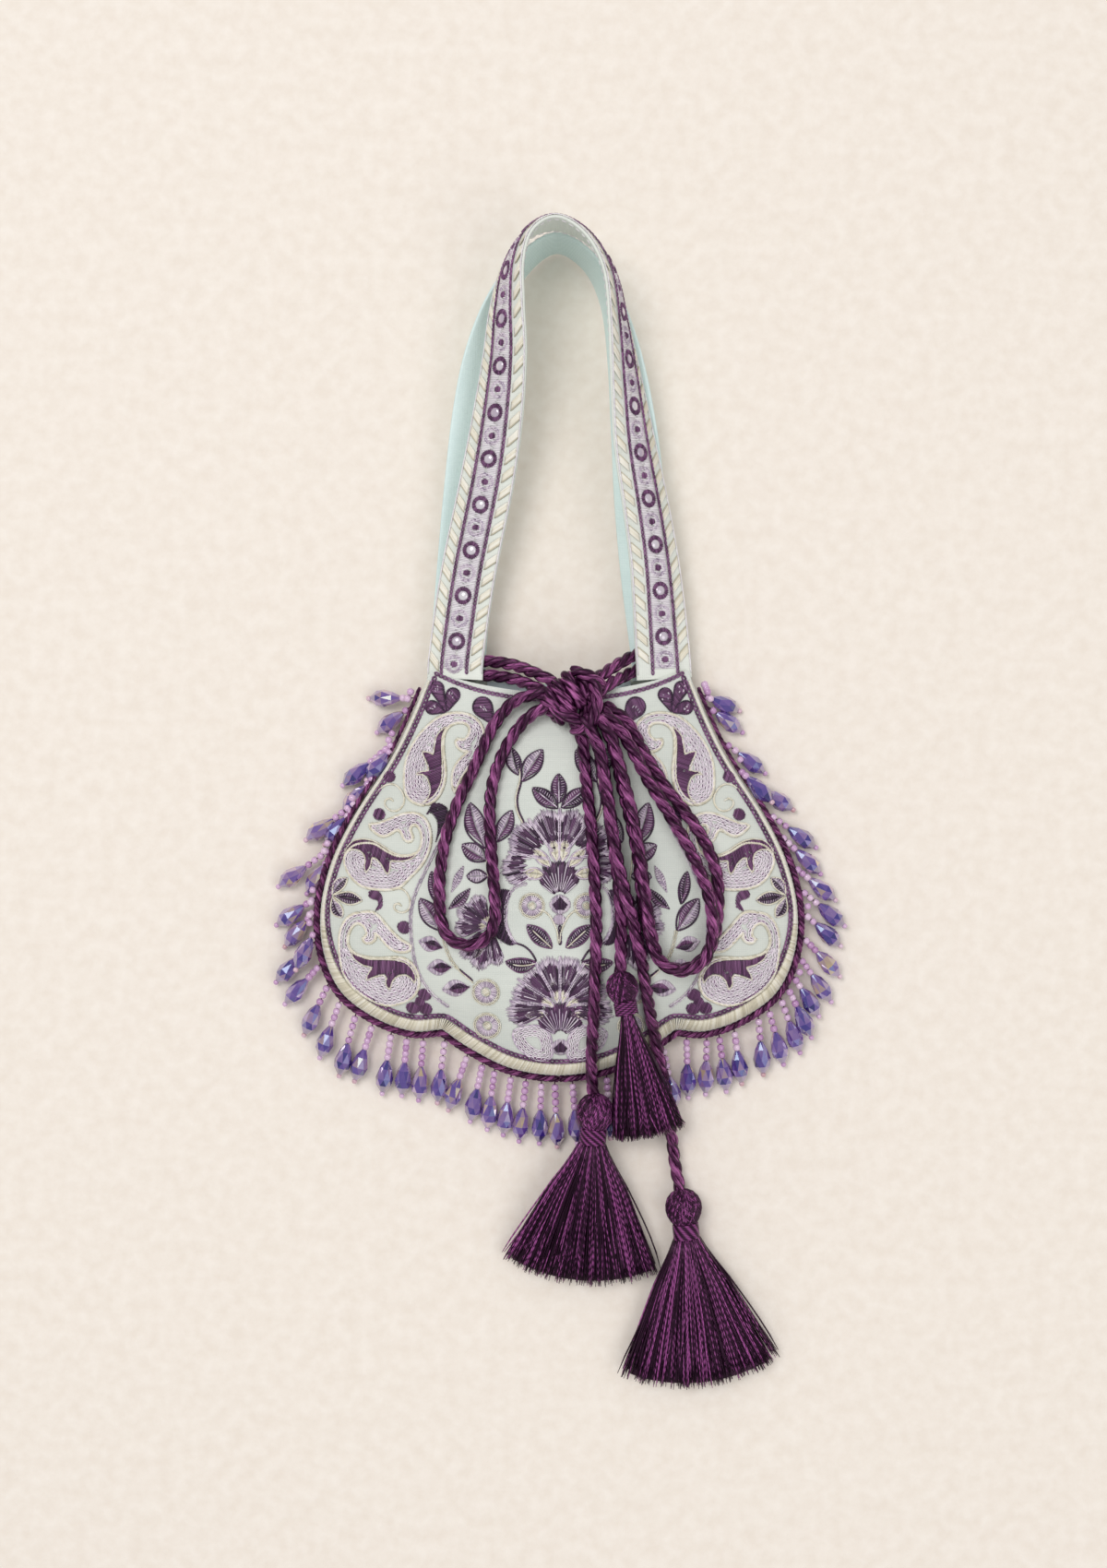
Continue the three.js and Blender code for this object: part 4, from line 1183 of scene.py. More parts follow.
PETAL_STEPS = 24
PETAL_SLANT = 60
PETAL_EDGE = dict(pitch=0.9, radius=0.3)
PETAL_SPOTS = 5
SPOT_SPREAD = 0.5
SPOT_LENGTH = 0.3
SPOT = dict(lift=0.8, radius=0.26)


def teardrop(base, centre, radius):
    """Petal with a round end: dark floss, a darker edge and a few pale stitches in its middle."""
    back = base - centre
    heading = math.atan2(back[1], back[0])
    half = math.acos(radius / np.linalg.norm(back))
    rim = centre + radius * spokes(heading + np.linspace(half, TAU - half, PETAL_STEPS))
    outline = np.vstack([base, rim])
    satin("purple", outline, math.degrees(heading) + PETAL_SLANT)
    stem("plum", joined(outline), **PETAL_EDGE)
    spots = centre + SPOT_SPREAD * radius * rng.uniform(-1, 1, (PETAL_SPOTS, 2))
    straight("lilac", spots, spots + SPOT_LENGTH * radius * unit(back), **SPOT)


FAN_STARTS = (1, 1.25)


def fan(colour, base, heading, spread, near, far, ragged=0.12, pitch=0.8, lift=0.45, drop=0.15):
    """Long and short stitches that spread from a base; angles in degrees, drop is the sides' shortfall."""
    step = math.degrees(pitch / far)
    spoke = spokes(np.radians(heading + np.arange(-spread, spread + step, step)))
    count = len(spoke)
    crown = 1 - drop * np.linspace(-1, 1, count) ** 2
    reach = far * crown * rng.uniform(1 - ragged, 1, count)
    start = near * rng.uniform(*FAN_STARTS, count)
    straight(colour, base + spoke * start[:, None], base + spoke * reach[:, None], lift)


# Charts of the pattern: picture point of the origin, picture points per unit
# The motifs' points were chosen on enlarged views of the photograph, each with its own unit
PICTURE_MIDDLE = 606
PICTURE_LEVEL = 945
PICTURE_SCALE = 0.38
PICTURE_PLANE = 15.0
WHOLE = (0, 0, 1.0)
CORNER = (440, 730, 1 / 13.07)
NECK = (280, 700, 1 / 4.356)
SHOULDER = (440, 760, 1 / 8.71)
LOBE = (340, 880, 1 / 6.53)
HEART = (560, 820, 1 / 8.71)
FOOT = (440, 960, 1 / 7.84)


def sized(length, chart):
    return length * chart[2] * PICTURE_SCALE


def charted(points, chart, side=1):
    """Chart points in the bag's plan, moved in for the height that they are seen at."""
    x0, y0, unit_size = chart
    p = np.asarray(points, float) * unit_size + (x0, y0)
    flat = np.stack([p[..., 0] - PICTURE_MIDDLE, PICTURE_LEVEL - p[..., 1]], axis=-1) * PICTURE_SCALE
    eye = np.array(CAMERA_PLACE) / MM
    shrink = (eye[2] - look_up(cloth_map, flat[..., 0], flat[..., 1])) / (eye[2] - PICTURE_PLANE)
    return (eye[:2] + (flat - eye[:2]) * shrink[..., None]) * (side, 1)


# Paisleys: chart, outline of the leaf, outline of the flame in it, slant of the flame's floss
PAISLEYS = [
    (SHOULDER, [
        (180, 985), (95, 970), (30, 925), (-5, 860), (-15, 760), (-10, 640), (10, 540), (50, 440),
        (120, 330), (200, 240), (290, 165), (400, 120), (520, 112), (620, 140), (700, 205),
        (738, 300), (730, 395), (690, 480), (640, 560), (560, 680), (500, 780), (468, 870),
        (445, 820), (435, 755), (442, 680), (475, 600), (530, 535), (600, 475), (560, 482),
        (505, 455), (470, 405), (482, 355), (540, 375), (590, 330), (605, 260), (565, 212),
        (490, 205), (420, 232), (372, 292), (356, 370), (356, 460), (366, 560), (376, 650),
        (372, 740), (350, 825), (310, 905), (250, 962),
    ], [
        (385, 240), (345, 330), (340, 440), (348, 560), (350, 680), (345, 750), (310, 840),
        (260, 912), (155, 972), (215, 920), (237, 850), (225, 785), (200, 722), (150, 692),
        (92, 704), (130, 672), (190, 668), (222, 660), (205, 610), (180, 545), (150, 478),
        (225, 488), (262, 512), (272, 430), (285, 345), (325, 285),
    ], 20),
    (LOBE, [
        (390, 95), (460, 85), (540, 55), (620, 22), (700, 10), (770, 32), (815, 90), (832, 170),
        (825, 250), (790, 340), (740, 410), (680, 470), (620, 530), (540, 552), (440, 550),
        (350, 530), (285, 485), (238, 415), (218, 345), (232, 295), (275, 250), (330, 228),
        (430, 228), (520, 282), (600, 316), (690, 312), (745, 280), (768, 200), (755, 130),
        (730, 95), (700, 95), (682, 130), (705, 175), (700, 205), (672, 217), (642, 200),
        (628, 160), (600, 125), (560, 150), (500, 178), (445, 155),
    ], [
        (218, 298), (245, 245), (290, 205), (360, 193), (430, 208), (490, 240), (550, 283),
        (610, 308), (680, 308), (745, 282), (705, 330), (640, 352), (580, 352), (545, 345),
        (545, 400), (530, 452), (505, 420), (480, 370), (440, 330), (415, 325), (410, 385),
        (373, 438), (362, 400), (372, 350), (360, 302), (320, 272), (270, 268), (240, 290),
    ], 75),
    (LOBE, [
        (330, 715), (400, 708), (445, 722), (490, 770), (540, 830), (600, 890), (650, 925),
        (692, 945), (675, 985), (610, 992), (550, 972), (500, 922), (462, 880), (432, 850),
        (445, 890), (420, 922), (375, 932), (343, 900), (378, 880), (370, 830), (340, 795),
        (300, 790), (265, 830), (245, 890), (250, 950), (290, 1002), (380, 1030), (480, 1037),
        (580, 1030), (650, 1042), (710, 1090), (742, 1160), (742, 1240), (702, 1310), (620, 1352),
        (530, 1370), (440, 1345), (340, 1290), (260, 1220), (210, 1130), (188, 1030), (183, 930),
        (190, 850), (225, 770), (280, 725),
    ], [
        (250, 950), (300, 1002), (380, 1042), (500, 1042), (600, 1047), (660, 1067), (702, 1112),
        (727, 1162), (717, 1212), (690, 1172), (650, 1150), (600, 1157), (560, 1192), (540, 1262),
        (510, 1222), (520, 1172), (500, 1150), (440, 1165), (370, 1192), (390, 1140), (420, 1100),
        (350, 1085), (290, 1042),
    ], 85),
]

# Leaves and petals: chart, base, tip, half width, fills, edge, where widest, sideways curve
SIDE_LEAVES = [
    (LOBE, (135, 590), (240, 470), 40, ("plum", "lilac"), "cream", 0.55, 0.08),
    (LOBE, (140, 595), (345, 628), 44, ("plum", "plum"), "cream", 0.55, 0.0),
    (LOBE, (135, 605), (205, 748), 44, ("plum", "lilac"), "cream", 0.58, -0.08),
    (SHOULDER, (1062, 700), (1000, 450), 66, ("plum", "lilac"), "plum", 0.5, 0.05),
    (SHOULDER, (1090, 765), (1287, 458), 82, ("purple", "lilac"), "plum", 0.52, 0.0),
    (SHOULDER, (748, 1390), (605, 962), 96, ("lilac", "purple"), "plum", 0.5, 0.04),
    (SHOULDER, (850, 1335), (1000, 1032), 72, ("purple", "lilac"), "plum", 0.5, -0.03),
    (SHOULDER, (762, 1505), (530, 1358), 80, ("lilac", "purple"), "plum", 0.5, 0.0),
    (SHOULDER, (770, 1651), (574, 1658), 62, ("lilac", "lilac"), "plum", 0.5, 0.0),
    (SHOULDER, (428, 1812), (543, 1559), 40, ("lilac", "lilac"), None, 0.5, 0.0),
    (SHOULDER, (295, 1920), (240, 1610), 50, ("plum", "purple"), "plum", 0.5, 0.0),
    (FOOT, (302, 385), (118, 112), 78, ("purple", "lilac"), "plum", 0.5, 0.0),
    (FOOT, (360, 205), (545, 25), 48, ("purple", "plum"), None, 0.45, -0.05),
]

# Petals with a round end: chart, base, centre, radius
SIDE_TEARDROPS = [
    (CORNER, (575, 550), (440, 210), 98), (CORNER, (588, 540), (668, 305), 100),
    (CORNER, (560, 552), (372, 482), 98), (CORNER, (1265, 745), (1085, 475), 140),
]

# Outlines filled with floss: chart, colour, slant, points
SIDE_SHAPES = [
    (LOBE, "purple", 60, [
        (388, 600), (400, 562), (440, 552), (478, 580), (490, 630), (480, 680), (430, 708),
        (455, 660), (450, 632), (415, 622),
    ]),
    (SHOULDER, "plum", 15, [
        (195, 1075), (205, 1040), (250, 972), (330, 968), (390, 1005), (405, 1065), (392, 1130),
        (360, 1195), (320, 1255), (282, 1335), (295, 1240), (290, 1145), (258, 1085), (225, 1060),
    ]),
    (FOOT, "plum", 70, [
        (800, 40), (890, 50), (850, 180), (850, 330), (890, 430), (930, 490), (880, 512),
        (800, 470), (760, 420), (790, 300), (810, 170),
    ]),
]

# Dots: chart, colour, centre, radius
SIDE_DOTS = [
    (WHOLE, "purple", (422, 842), 7), (WHOLE, "purple", (411, 883), 7),
    (LOBE, "purple", (640, 820), 48), (LOBE, "purple", (785, 1295), 48), (LOBE, "purple", (702, 1390), 48),
    (LOBE, "purple", (790, 1395), 48), (LOBE, "purple", (750, 1342), 36),
]

# Lines: chart, kind of stitch, colour, points
SIDE_LINES = [
    (WHOLE, chain, "lilac", [
        (571, 958), (562, 960), (554, 966), (549, 979), (548, 999), (554, 1016), (559, 1023),
    ]),
    (WHOLE, chain, "lilac", [
        (549, 762), (533, 794), (510, 843), (486, 895), (463, 940), (447, 980), (446, 1018),
        (453, 1053), (468, 1077), (486, 1091),
    ]),
    (LOBE, stem, "cream", [
        (560, 550), (620, 545), (658, 572), (686, 640), (672, 695), (625, 716), (576, 696),
        (568, 664), (598, 646), (626, 668),
    ]),
    (NECK, stem, "cream", [
        (560, 700), (590, 665), (640, 655), (680, 690), (690, 740), (660, 780), (615, 775), (595, 740),
        (620, 720), (640, 735),
    ]),
    (SHOULDER, stem, "cream", [
        (1072, 640), (1078, 740), (1052, 840), (1034, 930), (1046, 1030), (1075, 1100), (1104, 1155),
    ]),
    (SHOULDER, stem, "plum", [
        (1050, 500), (1085, 590), (1092, 700), (1086, 780), (1066, 850), (1050, 930), (1062, 1030),
        (1092, 1100), (1118, 1150),
    ]),
    (FOOT, chain, "cream", [(308, 380), (322, 460), (350, 560), (395, 650), (440, 705)]),
    (FOOT, stem, "cream", [(425, 690), (470, 735), (575, 825)]),
    (FOOT, stem, "plum", [(455, 712), (520, 765), (572, 808)]),
    (FOOT, stem, "plum", [(930, 490), (1000, 512), (1060, 562), (1112, 645)]),
    (SHOULDER, stem, "cream", [(750, 1390), (760, 1480), (768, 1600), (790, 1760)]),
    (FOOT, stem, "cream", [
        (1125, 205), (1175, 218), (1225, 262), (1262, 330), (1288, 400), (1298, 495),
    ]),
    (FOOT, stem, "lilac", [(860, 180), (852, 300), (880, 420), (935, 485)]),
]

# Buds with a pale frill: chart, base, tip, half width
SIDE_BUDS = [
    (FOOT, (318, 530), (110, 470), 72), (FOOT, (398, 690), (180, 700), 76),
    (FOOT, (556, 855), (310, 885), 80),
]

# Rosettes: chart, centre, radius
SIDE_ROSETTES = [(FOOT, (1070, 172), 105), (FOOT, (680, 905), 115), (FOOT, (692, 1190), 115)]

# Leaves beside the middle flowers, as SIDE_LEAVES
MIDDLE_LEAVES = [
    (FOOT, (1242, 532), (1028, 338), 62, ("plum", "plum"), "purple", 0.5, 0.0),
    (FOOT, (1112, 657), (846, 650), 60, ("plum", "plum"), "purple", 0.5, 0.1),
]

# Flowers in the middle, with a calyx of a half width over a fan from the foot: spread, near and far
# A lobe is its heading, spread, near and far; a vein its heading
# A petal or leaf is its base, tip and half width
# Cups are one outline for both sides of the calyx, and dots mark the first so many petals
FLOWERS = [
    dict(
        chart=HEART, base=(405, 985), calyx=(410, 1400), foot=(405, 1345), fan=(48, 60, 385), half=76,
        lobes=[
            (107, 17.5, 140, 488), (73, 17.5, 140, 488), (149, 20, 205, 520), (31, 20, 205, 520),
            (190, 17, 300, 540), (-10, 17, 300, 540),
        ],
        veins=[90, 127, 53, 171, 9],
        petals=[
            ((380, 1000), (338, 765), 50), ((428, 1000), (468, 765), 50), ((325, 1050), (150, 868), 50),
            ((488, 1050), (652, 868), 50), ((272, 1120), (66, 1095), 54), ((548, 1120), (744, 1090), 54),
        ],
        leaves=[((402, 445), (395, 165), 70), ((390, 490), (148, 300), 70), ((424, 488), (668, 302), 70)],
        dots=4,
    ),
    dict(
        chart=FOOT, base=(1308, 1020), calyx=(1315, 1375), foot=(1312, 1285), fan=(58, 50, 330), half=62,
        lobes=[
            (104.5, 15, 90, 425), (75.5, 15, 90, 425), (133, 15, 100, 400), (47, 15, 100, 400),
            (161, 13.5, 110, 415), (19, 13.5, 110, 415), (192, 16, 130, 450), (-12, 16, 130, 450),
        ],
        veins=[90, 119, 61, 147, 33, 175, 5],
        petals=[
            ((1288, 1000), (1240, 790), 38), ((1328, 1000), (1378, 790), 38),
            ((1258, 1030), (1085, 905), 42), ((1358, 1030), (1530, 905), 42),
            ((1220, 1090), (1010, 1100), 42), ((1396, 1090), (1606, 1100), 42),
        ],
        cups=[
            (910, 1240), (1000, 1200), (1130, 1190), (1220, 1260), (1245, 1380), (1230, 1470), (1110, 1480),
            (1000, 1420), (930, 1340),
        ],
    ),
]

# Carnations at the sides: chart, base, lobes as above, pale petals
SIDE_FLOWER = dict(
    chart=FOOT, base=(715, 335),
    lobes=[
        (118, 17, 50, 275), (152, 17, 50, 300), (186, 16, 60, 300), (228, 14, 90, 360),
        (254, 13, 90, 395), (279, 12, 80, 350),
    ],
    petals=[((700, 320), (640, 190), 44), ((690, 345), (545, 345), 44), ((690, 400), (590, 620), 40)],
)

# Layers of a lobe: colour, spread, start as shares of near and far, reach, raggedness, pitch, lift
LOBE_LAYERS = [
    ("lilac", 1.06, 0.6, 0.2, 1.05, 0.06, 0.62, 0.45),
    ("purple", 1.0, 1.0, 0.0, 0.95, 0.08, 0.7, 0.5),
    ("plum", 1.0, 1.0, 0.0, 1.02, 0.16, 0.7, 0.65),
    ("lilac", 0.8, 0.0, 0.45, 0.85, 0.4, 4.2, 0.75),
]
# Layers of the fan at a flower's foot: colour, reach, raggedness, pitch, lift
FOOT_LAYERS = [
    ("purple", 0.96, 0.08, 0.7, 0.6), ("plum", 1.0, 0.2, 0.85, 0.75), ("lilac", 0.95, 0.35, 2.0, 0.85),
]
FOOT_HEADING = 90
FOOT_DROP = 0.3
VEIN_START = 0.2
VEIN_SHIFT = 0.32
VEIN = dict(pitch=1.2, radius=0.34, lift=0.7)
DOT_PLACE = 0.58
DOT_R = 0.45
CUP_GAP = 1.5
CUP_DEPTH = 4.0
CALYX_DISC = 1.25
CALYX_DIAMOND = np.array([(0, 1.15), (0.9, 0), (0.5, -0.8), (-0.5, -0.8), (-0.9, 0)])
UPRIGHT = 90


def lobe(base, heading, spread, near, far):
    for colour, wide, by_near, by_far, reach, ragged, pitch, lift in LOBE_LAYERS:
        start = by_near * near + by_far * far
        fan(colour, base, heading, wide * spread, start, reach * far, ragged, pitch, lift)


def vein(base, heading, reach):
    """Two lines of stem stitch side by side."""
    angle = math.radians(heading)
    ray = np.array([math.cos(angle), math.sin(angle)])
    for shift in (-VEIN_SHIFT, VEIN_SHIFT):
        across = shift * np.array([-ray[1], ray[0]])
        stem("lilac", [base + VEIN_START * reach * ray + across, base + reach * ray + across], **VEIN)


def calyx(spec):
    """Fan from a flower's foot, and a dark diamond on a pale disc below it."""
    chart = spec["chart"]
    foot = charted(spec["foot"], chart)
    spread, near, far = spec["fan"]
    near, far = sized(near, chart), sized(far, chart)
    for colour, reach, ragged, pitch, lift in FOOT_LAYERS:
        fan(colour, foot, FOOT_HEADING, spread, near, reach * far, ragged, pitch, lift, FOOT_DROP)
    middle = charted(spec["calyx"], chart)
    half = sized(spec["half"], chart)
    satin("lilac", disc(middle, CALYX_DISC * half), UPRIGHT, lift=0.5)
    satin("plum", middle + half * CALYX_DIAMOND, UPRIGHT, lift=0.95)


def flower(spec, side=1):
    """Serrated lobes of dark floss with a pale frill, veins between them and pale petals."""
    chart = spec["chart"]
    base = charted(spec["base"], chart, side)
    for heading, spread, near, far in spec["lobes"]:
        lobe(base, heading if side > 0 else 180 - heading, spread, sized(near, chart), sized(far, chart))
    for heading in spec.get("veins", []):
        vein(base, heading, sized(spec["lobes"][0][3], chart))
    for from_point, to_point, half in spec["petals"]:
        ends = charted([from_point, to_point], chart, side)
        leaf(*ends, sized(half, chart), ("cream", "cream"), "lilac")
    for from_point, to_point, _ in spec["petals"][:spec.get("dots", 0)]:
        middle = lerp(*charted([from_point, to_point], chart, side), DOT_PLACE)
        satin("plum", disc(middle, DOT_R), UPRIGHT, lift=0.9)
    for mirror in (1, -1) if spec.get("cups") else ():
        outline = closed(charted(spec["cups"], chart) - base * (1, 0)) * (mirror, 1) + base * (1, 0)
        chain_fill("lilac", outline, gap=CUP_GAP, deepest=CUP_DEPTH)
        stem("lilac", joined(outline))
    for from_point, to_point, half in spec.get("leaves", []):
        ends = charted([from_point, to_point], chart, side)
        leaf(*ends, sized(half, chart), ("plum", "purple"), midrib="lilac")
    if "foot" in spec:
        calyx(spec)


# Chain between the two middle flowers: chart, lilac heart and its radius, ends of the chain
LINK_CHART = FOOT
LINK_HEART = (1303, 290)
LINK_HEART_R = 50
LINK_ENDS = [(1308, 340), (1310, 500)]


def link_flowers():
    heart = charted(LINK_HEART, LINK_CHART)
    satin("lilac", disc(heart, sized(LINK_HEART_R, LINK_CHART)), UPRIGHT, lift=0.6)
    chain("plum", charted(LINK_ENDS, LINK_CHART), radius=0.34)


PAISLEY_EDGE = dict(pitch=1.1, radius=0.62, lift=0.55)
FLAME_EDGE = dict(pitch=1.0, radius=0.28, lift=0.7)
DOT_SLANT = 70
LINE_STEPS = 80
# Dark centre of a bud: its ends as shares of the bud, and its width
BUD_FROM = 0.03
BUD_TO = 0.74
BUD_WIDTH = 0.66
# Rings of a rosette, as shares of its radius
ROSETTE_INNER = 0.36
ROSETTE_OUTER = 0.86
ROSETTE_MIDDLE = 0.3
ROSETTE_EDGE = 0.94
ROSETTE_SLANT = 30
ROSETTE_CHAIN = dict(pitch=1.5, half=0.4)


def embroider_side(side):
    """Pattern of the left half, mirrored for the right one."""
    mirrored = (lambda angle: angle) if side > 0 else (lambda angle: 180 - angle)
    for chart, body, flame, slant in PAISLEYS:
        outline = closed(charted(body, chart, side))
        dark = charted(flame, chart, side)
        chain_fill("lilac", outline, dark)
        satin("purple", dark, mirrored(slant), lift=0.55)
        stem("cream", joined(outline), **PAISLEY_EDGE)
        stem("cream", joined(dark), **FLAME_EDGE)
    for chart, base, tip, half, fills, edge, peak, bow in SIDE_LEAVES:
        ends = charted([base, tip], chart, side)
        leaf(*ends, sized(half, chart), fills[::side], edge, peak, side * bow)
    for chart, base, centre, radius in SIDE_TEARDROPS:
        teardrop(*charted([base, centre], chart, side), sized(radius, chart))
    for chart, colour, slant, points in SIDE_SHAPES:
        satin(colour, closed(charted(points, chart, side)), mirrored(slant))
    for chart, colour, centre, radius in SIDE_DOTS:
        satin(colour, disc(charted(centre, chart, side), sized(radius, chart)), DOT_SLANT)
    for chart, kind, colour, points in SIDE_LINES:
        kind(colour, curve(charted(points, chart, side), LINE_STEPS))
    for chart, base, tip, half in SIDE_BUDS:
        ends = charted([base, tip], chart, side)
        middle = [lerp(*ends, share) for share in (BUD_FROM, BUD_TO)]
        wide = sized(half, chart)
        leaf(*ends, wide, ("lilac", "lilac"), None, hatched=False)
        leaf(*middle, BUD_WIDTH * wide, ("plum", "purple"), None, lift=0.8, hatched=False)
    for chart, centre, radius in SIDE_ROSETTES:
        centre, radius = charted(centre, chart, side), sized(radius, chart)
        ring("lilac", centre, ROSETTE_INNER * radius, ROSETTE_OUTER * radius)
        satin("cream", disc(centre, ROSETTE_MIDDLE * radius), ROSETTE_SLANT)
        chain("cream", joined(disc(centre, ROSETTE_EDGE * radius)), **ROSETTE_CHAIN)
    for chart, base, tip, half, fills, edge, peak, bow in MIDDLE_LEAVES:
        ends = charted([base, tip], chart, side)
        leaf(*ends, sized(half, chart), fills, edge, peak, side * bow, "cream")
    flower(SIDE_FLOWER, side)


for side in (1, -1):
    embroider_side(side)
for spec in FLOWERS:
    flower(spec)
link_flowers()


# Edge of the front: padded satin border, dark line inside it and along the mouth
BORDER_TOP = 1.6
BORDER_SIDE = 2.1
BORDER_BOTTOM = 5.6
BORDER_PITCH = 0.55
BORDER_SIDE_STEPS = 400
BORDER_SCALLOP_STEPS = 240
BORDER_OUTER = 0.3
BORDER_SLANT = 1.6
BORDER_PADDING = (0.45, 0.95)
BORDER_R = 0.38
BORDER_END_Y = 79
PADDED_SHARE = 0.12
PADDED_TINTS = dict(low=0.0, high=0.95)
NARROW_TINTS = dict(low=0.75, high=1.2)
LINE_TOP = 2.8
LINE_SIDE = 3.2
LINE_BOTTOM = 6.5
LINE_END_Y = 81.5
LINE_CHAIN = dict(half=0.7, radius=0.5, low=0.1, high=1.0)
MOUTH_LINE_HALF = 51.2
MOUTH_LINE_STEPS = 200
MOUTH_LINE_BELOW = 3.0
MOUTH_CHAIN = dict(half=0.55, radius=0.42, low=0.3, high=1.2)
# Heights between which the border changes from top to side, and from side to bottom
TOP_CHANGE = (0, 55)
BOTTOM_CHANGE = (12, 58)
# Bell that smooths the seam's directions, in steps of the border
BELL_REACH = 8
BELL_WIDTH = 2


def border():
    edge = spaced(seam_points(BORDER_SIDE_STEPS, BORDER_SCALLOP_STEPS), BORDER_PITCH)
    along = unit(np.gradient(edge, axis=0))
    bell = np.exp(-np.linspace(-BELL_WIDTH, BELL_WIDTH, 2 * BELL_REACH + 1) ** 2)
    extended = np.pad(along, ((BELL_REACH, BELL_REACH), (0, 0)), mode="edge")
    smooth = np.stack([np.convolve(extended[:, k], bell / bell.sum(), "valid") for k in (0, 1)], axis=1)
    inward = unit(left_of(smooth))
    upper = smoothstep(edge[:, 1], *TOP_CHANGE)[:, None]
    share = smoothstep(-edge[:, 1], *BOTTOM_CHANGE)[:, None]
    wide = lerp(lerp(BORDER_SIDE, BORDER_TOP, upper), BORDER_BOTTOM, share)
    outer = edge + inward * BORDER_OUTER
    inner = edge + inward * wide + along * BORDER_SLANT * share
    padding = lerp(*BORDER_PADDING, share)
    padded = share[:, 0] > PADDED_SHARE
    narrow = ~padded & (edge[:, 1] < BORDER_END_Y)
    for kept, tints in ((padded, PADDED_TINTS), (narrow, NARROW_TINTS)):
        straight("cream", outer[kept], inner[kept], padding[kept], BORDER_R, **tints)
    line = edge + inward * lerp(lerp(LINE_SIDE, LINE_TOP, upper), LINE_BOTTOM, share)
    chain("purple", line[edge[:, 1] < LINE_END_Y], **LINE_CHAIN)
    x = np.linspace(-MOUTH_LINE_HALF, MOUTH_LINE_HALF, MOUTH_LINE_STEPS)
    across = x / MOUTH_HALF
    y = MOUTH_Y - FRONT_DIP * (1 - across**2) - MOUTH_LINE_BELOW * (1 - across**4)
    chain("purple", np.stack([x, y], axis=1), **MOUTH_CHAIN)


border()

STITCH_LOOKS = {
    "cream": (CREAM, "silk"), "lilac": (LILAC, "trim"),
    "purple": (PURPLE, "cord_silk"), "plum": (PLUM, "cord_silk"),
}
for colour, (material, slot) in STITCH_LOOKS.items():
    piece(f"embroidery_{colour}", stitches[colour], material, slot)
    stitches[colour] = []


# Straps
def strap_frames(rows, steps):
    """Middle, direction from the outer to the inner edge, and face normal along a strap."""
    line = curve(rows, steps)
    middle = line[:, :3]
    roll = np.radians(line[:, 3:])
    along = np.gradient(middle, axis=0)
    inward = unit(np.stack([along[:, 1], -along[:, 0], np.zeros(len(along))], axis=1))
    across = inward * np.cos(roll) + UP * np.sin(roll)
    face = UP * np.cos(roll) - inward * np.sin(roll)
    return middle, across, face


STRAP_EDGE_FALL = 0.55
STRAP_EDGE_POWER = 12
CROWN_FROM = 8
CROWN_TO = 5.2
# Places across half a strap, as shares of it
STRAP_SHARES = np.array([-1, -0.97, -0.9, -0.78, -0.62, -0.5, -0.42, -0.2, 0])


def strap_top(u, crown):
    """Height of a strap's face over its middle plane, at a distance from its middle line."""
    edge = 1 - STRAP_EDGE_FALL * (np.abs(u) / (STRAP_WIDTH / 2)) ** STRAP_EDGE_POWER
    return STRAP_THICK / 2 * edge + crown * smoothstep(-np.abs(u), -CROWN_FROM, -CROWN_TO)


def strap(name, rows, steps, crown, material, slot):
    """Band of cloth with turned edges; crown is the rise of its padded middle."""
    middle, across, face = strap_frames(rows, steps)
    u = np.concatenate([STRAP_SHARES, -STRAP_SHARES[-2::-1]]) * STRAP_WIDTH / 2
    u, h = np.append(u, u[::-1]), np.append(strap_top(u, crown), -strap_top(u, 0)[::-1])
    points = middle[:, None] + across[:, None] * u[:, None] + face[:, None] * h[:, None]
    made = piece(f"{name}_cloth", [capped(points)], material, slot, [name])
    run_length(middle) * MM
    return made


STRAP_CROWN = 1.2
BACK_STRAP_STEPS = 240
FRONT_STRAP_STEPS = 300
strap_back = strap("strap_back", BACK_STRAP, BACK_STRAP_STEPS, 0.0, AQUA_SILK, "lining")
strap("strap_front", FRONT_STRAP, FRONT_STRAP_STEPS, STRAP_CROWN, STRAP_SILK, "silk")


# Embroidery of the straps: places are millimetres along a strap and across it from its middle line
STRAP_FINE_STEPS = 900
GROUND_BARE = 4.5
GROUND_PITCH = 0.62
GROUND_HALF = 4.7
GROUND_STAGGER = 1.5
GROUND = dict(lift=0.3, radius=0.36)
STRIPE_START = 3
STRIPE_END = 10
STRIPE_PITCH = 7.2
STRIPE_INNER = 6.5
STRIPE_OUTER = 11.2
STRIPE_RISE = 4.6
STRIPE_THREADS = 6
STRIPE_THREAD_PITCH = 0.62
STRIPE = dict(lift=0.5, radius=0.38)
STRIPE_SHADOW = dict(low=-0.5, high=0.0)
STRIPE_LIGHT = dict(low=0.5, high=1.2)
LINES_BARE = 2
LINES_STEPS = 400
DARK_LINE_PLACE = 5.35
DARK_LINE = dict(pitch=1.7, half=0.46, radius=0.34, low=0.2, high=1.2)
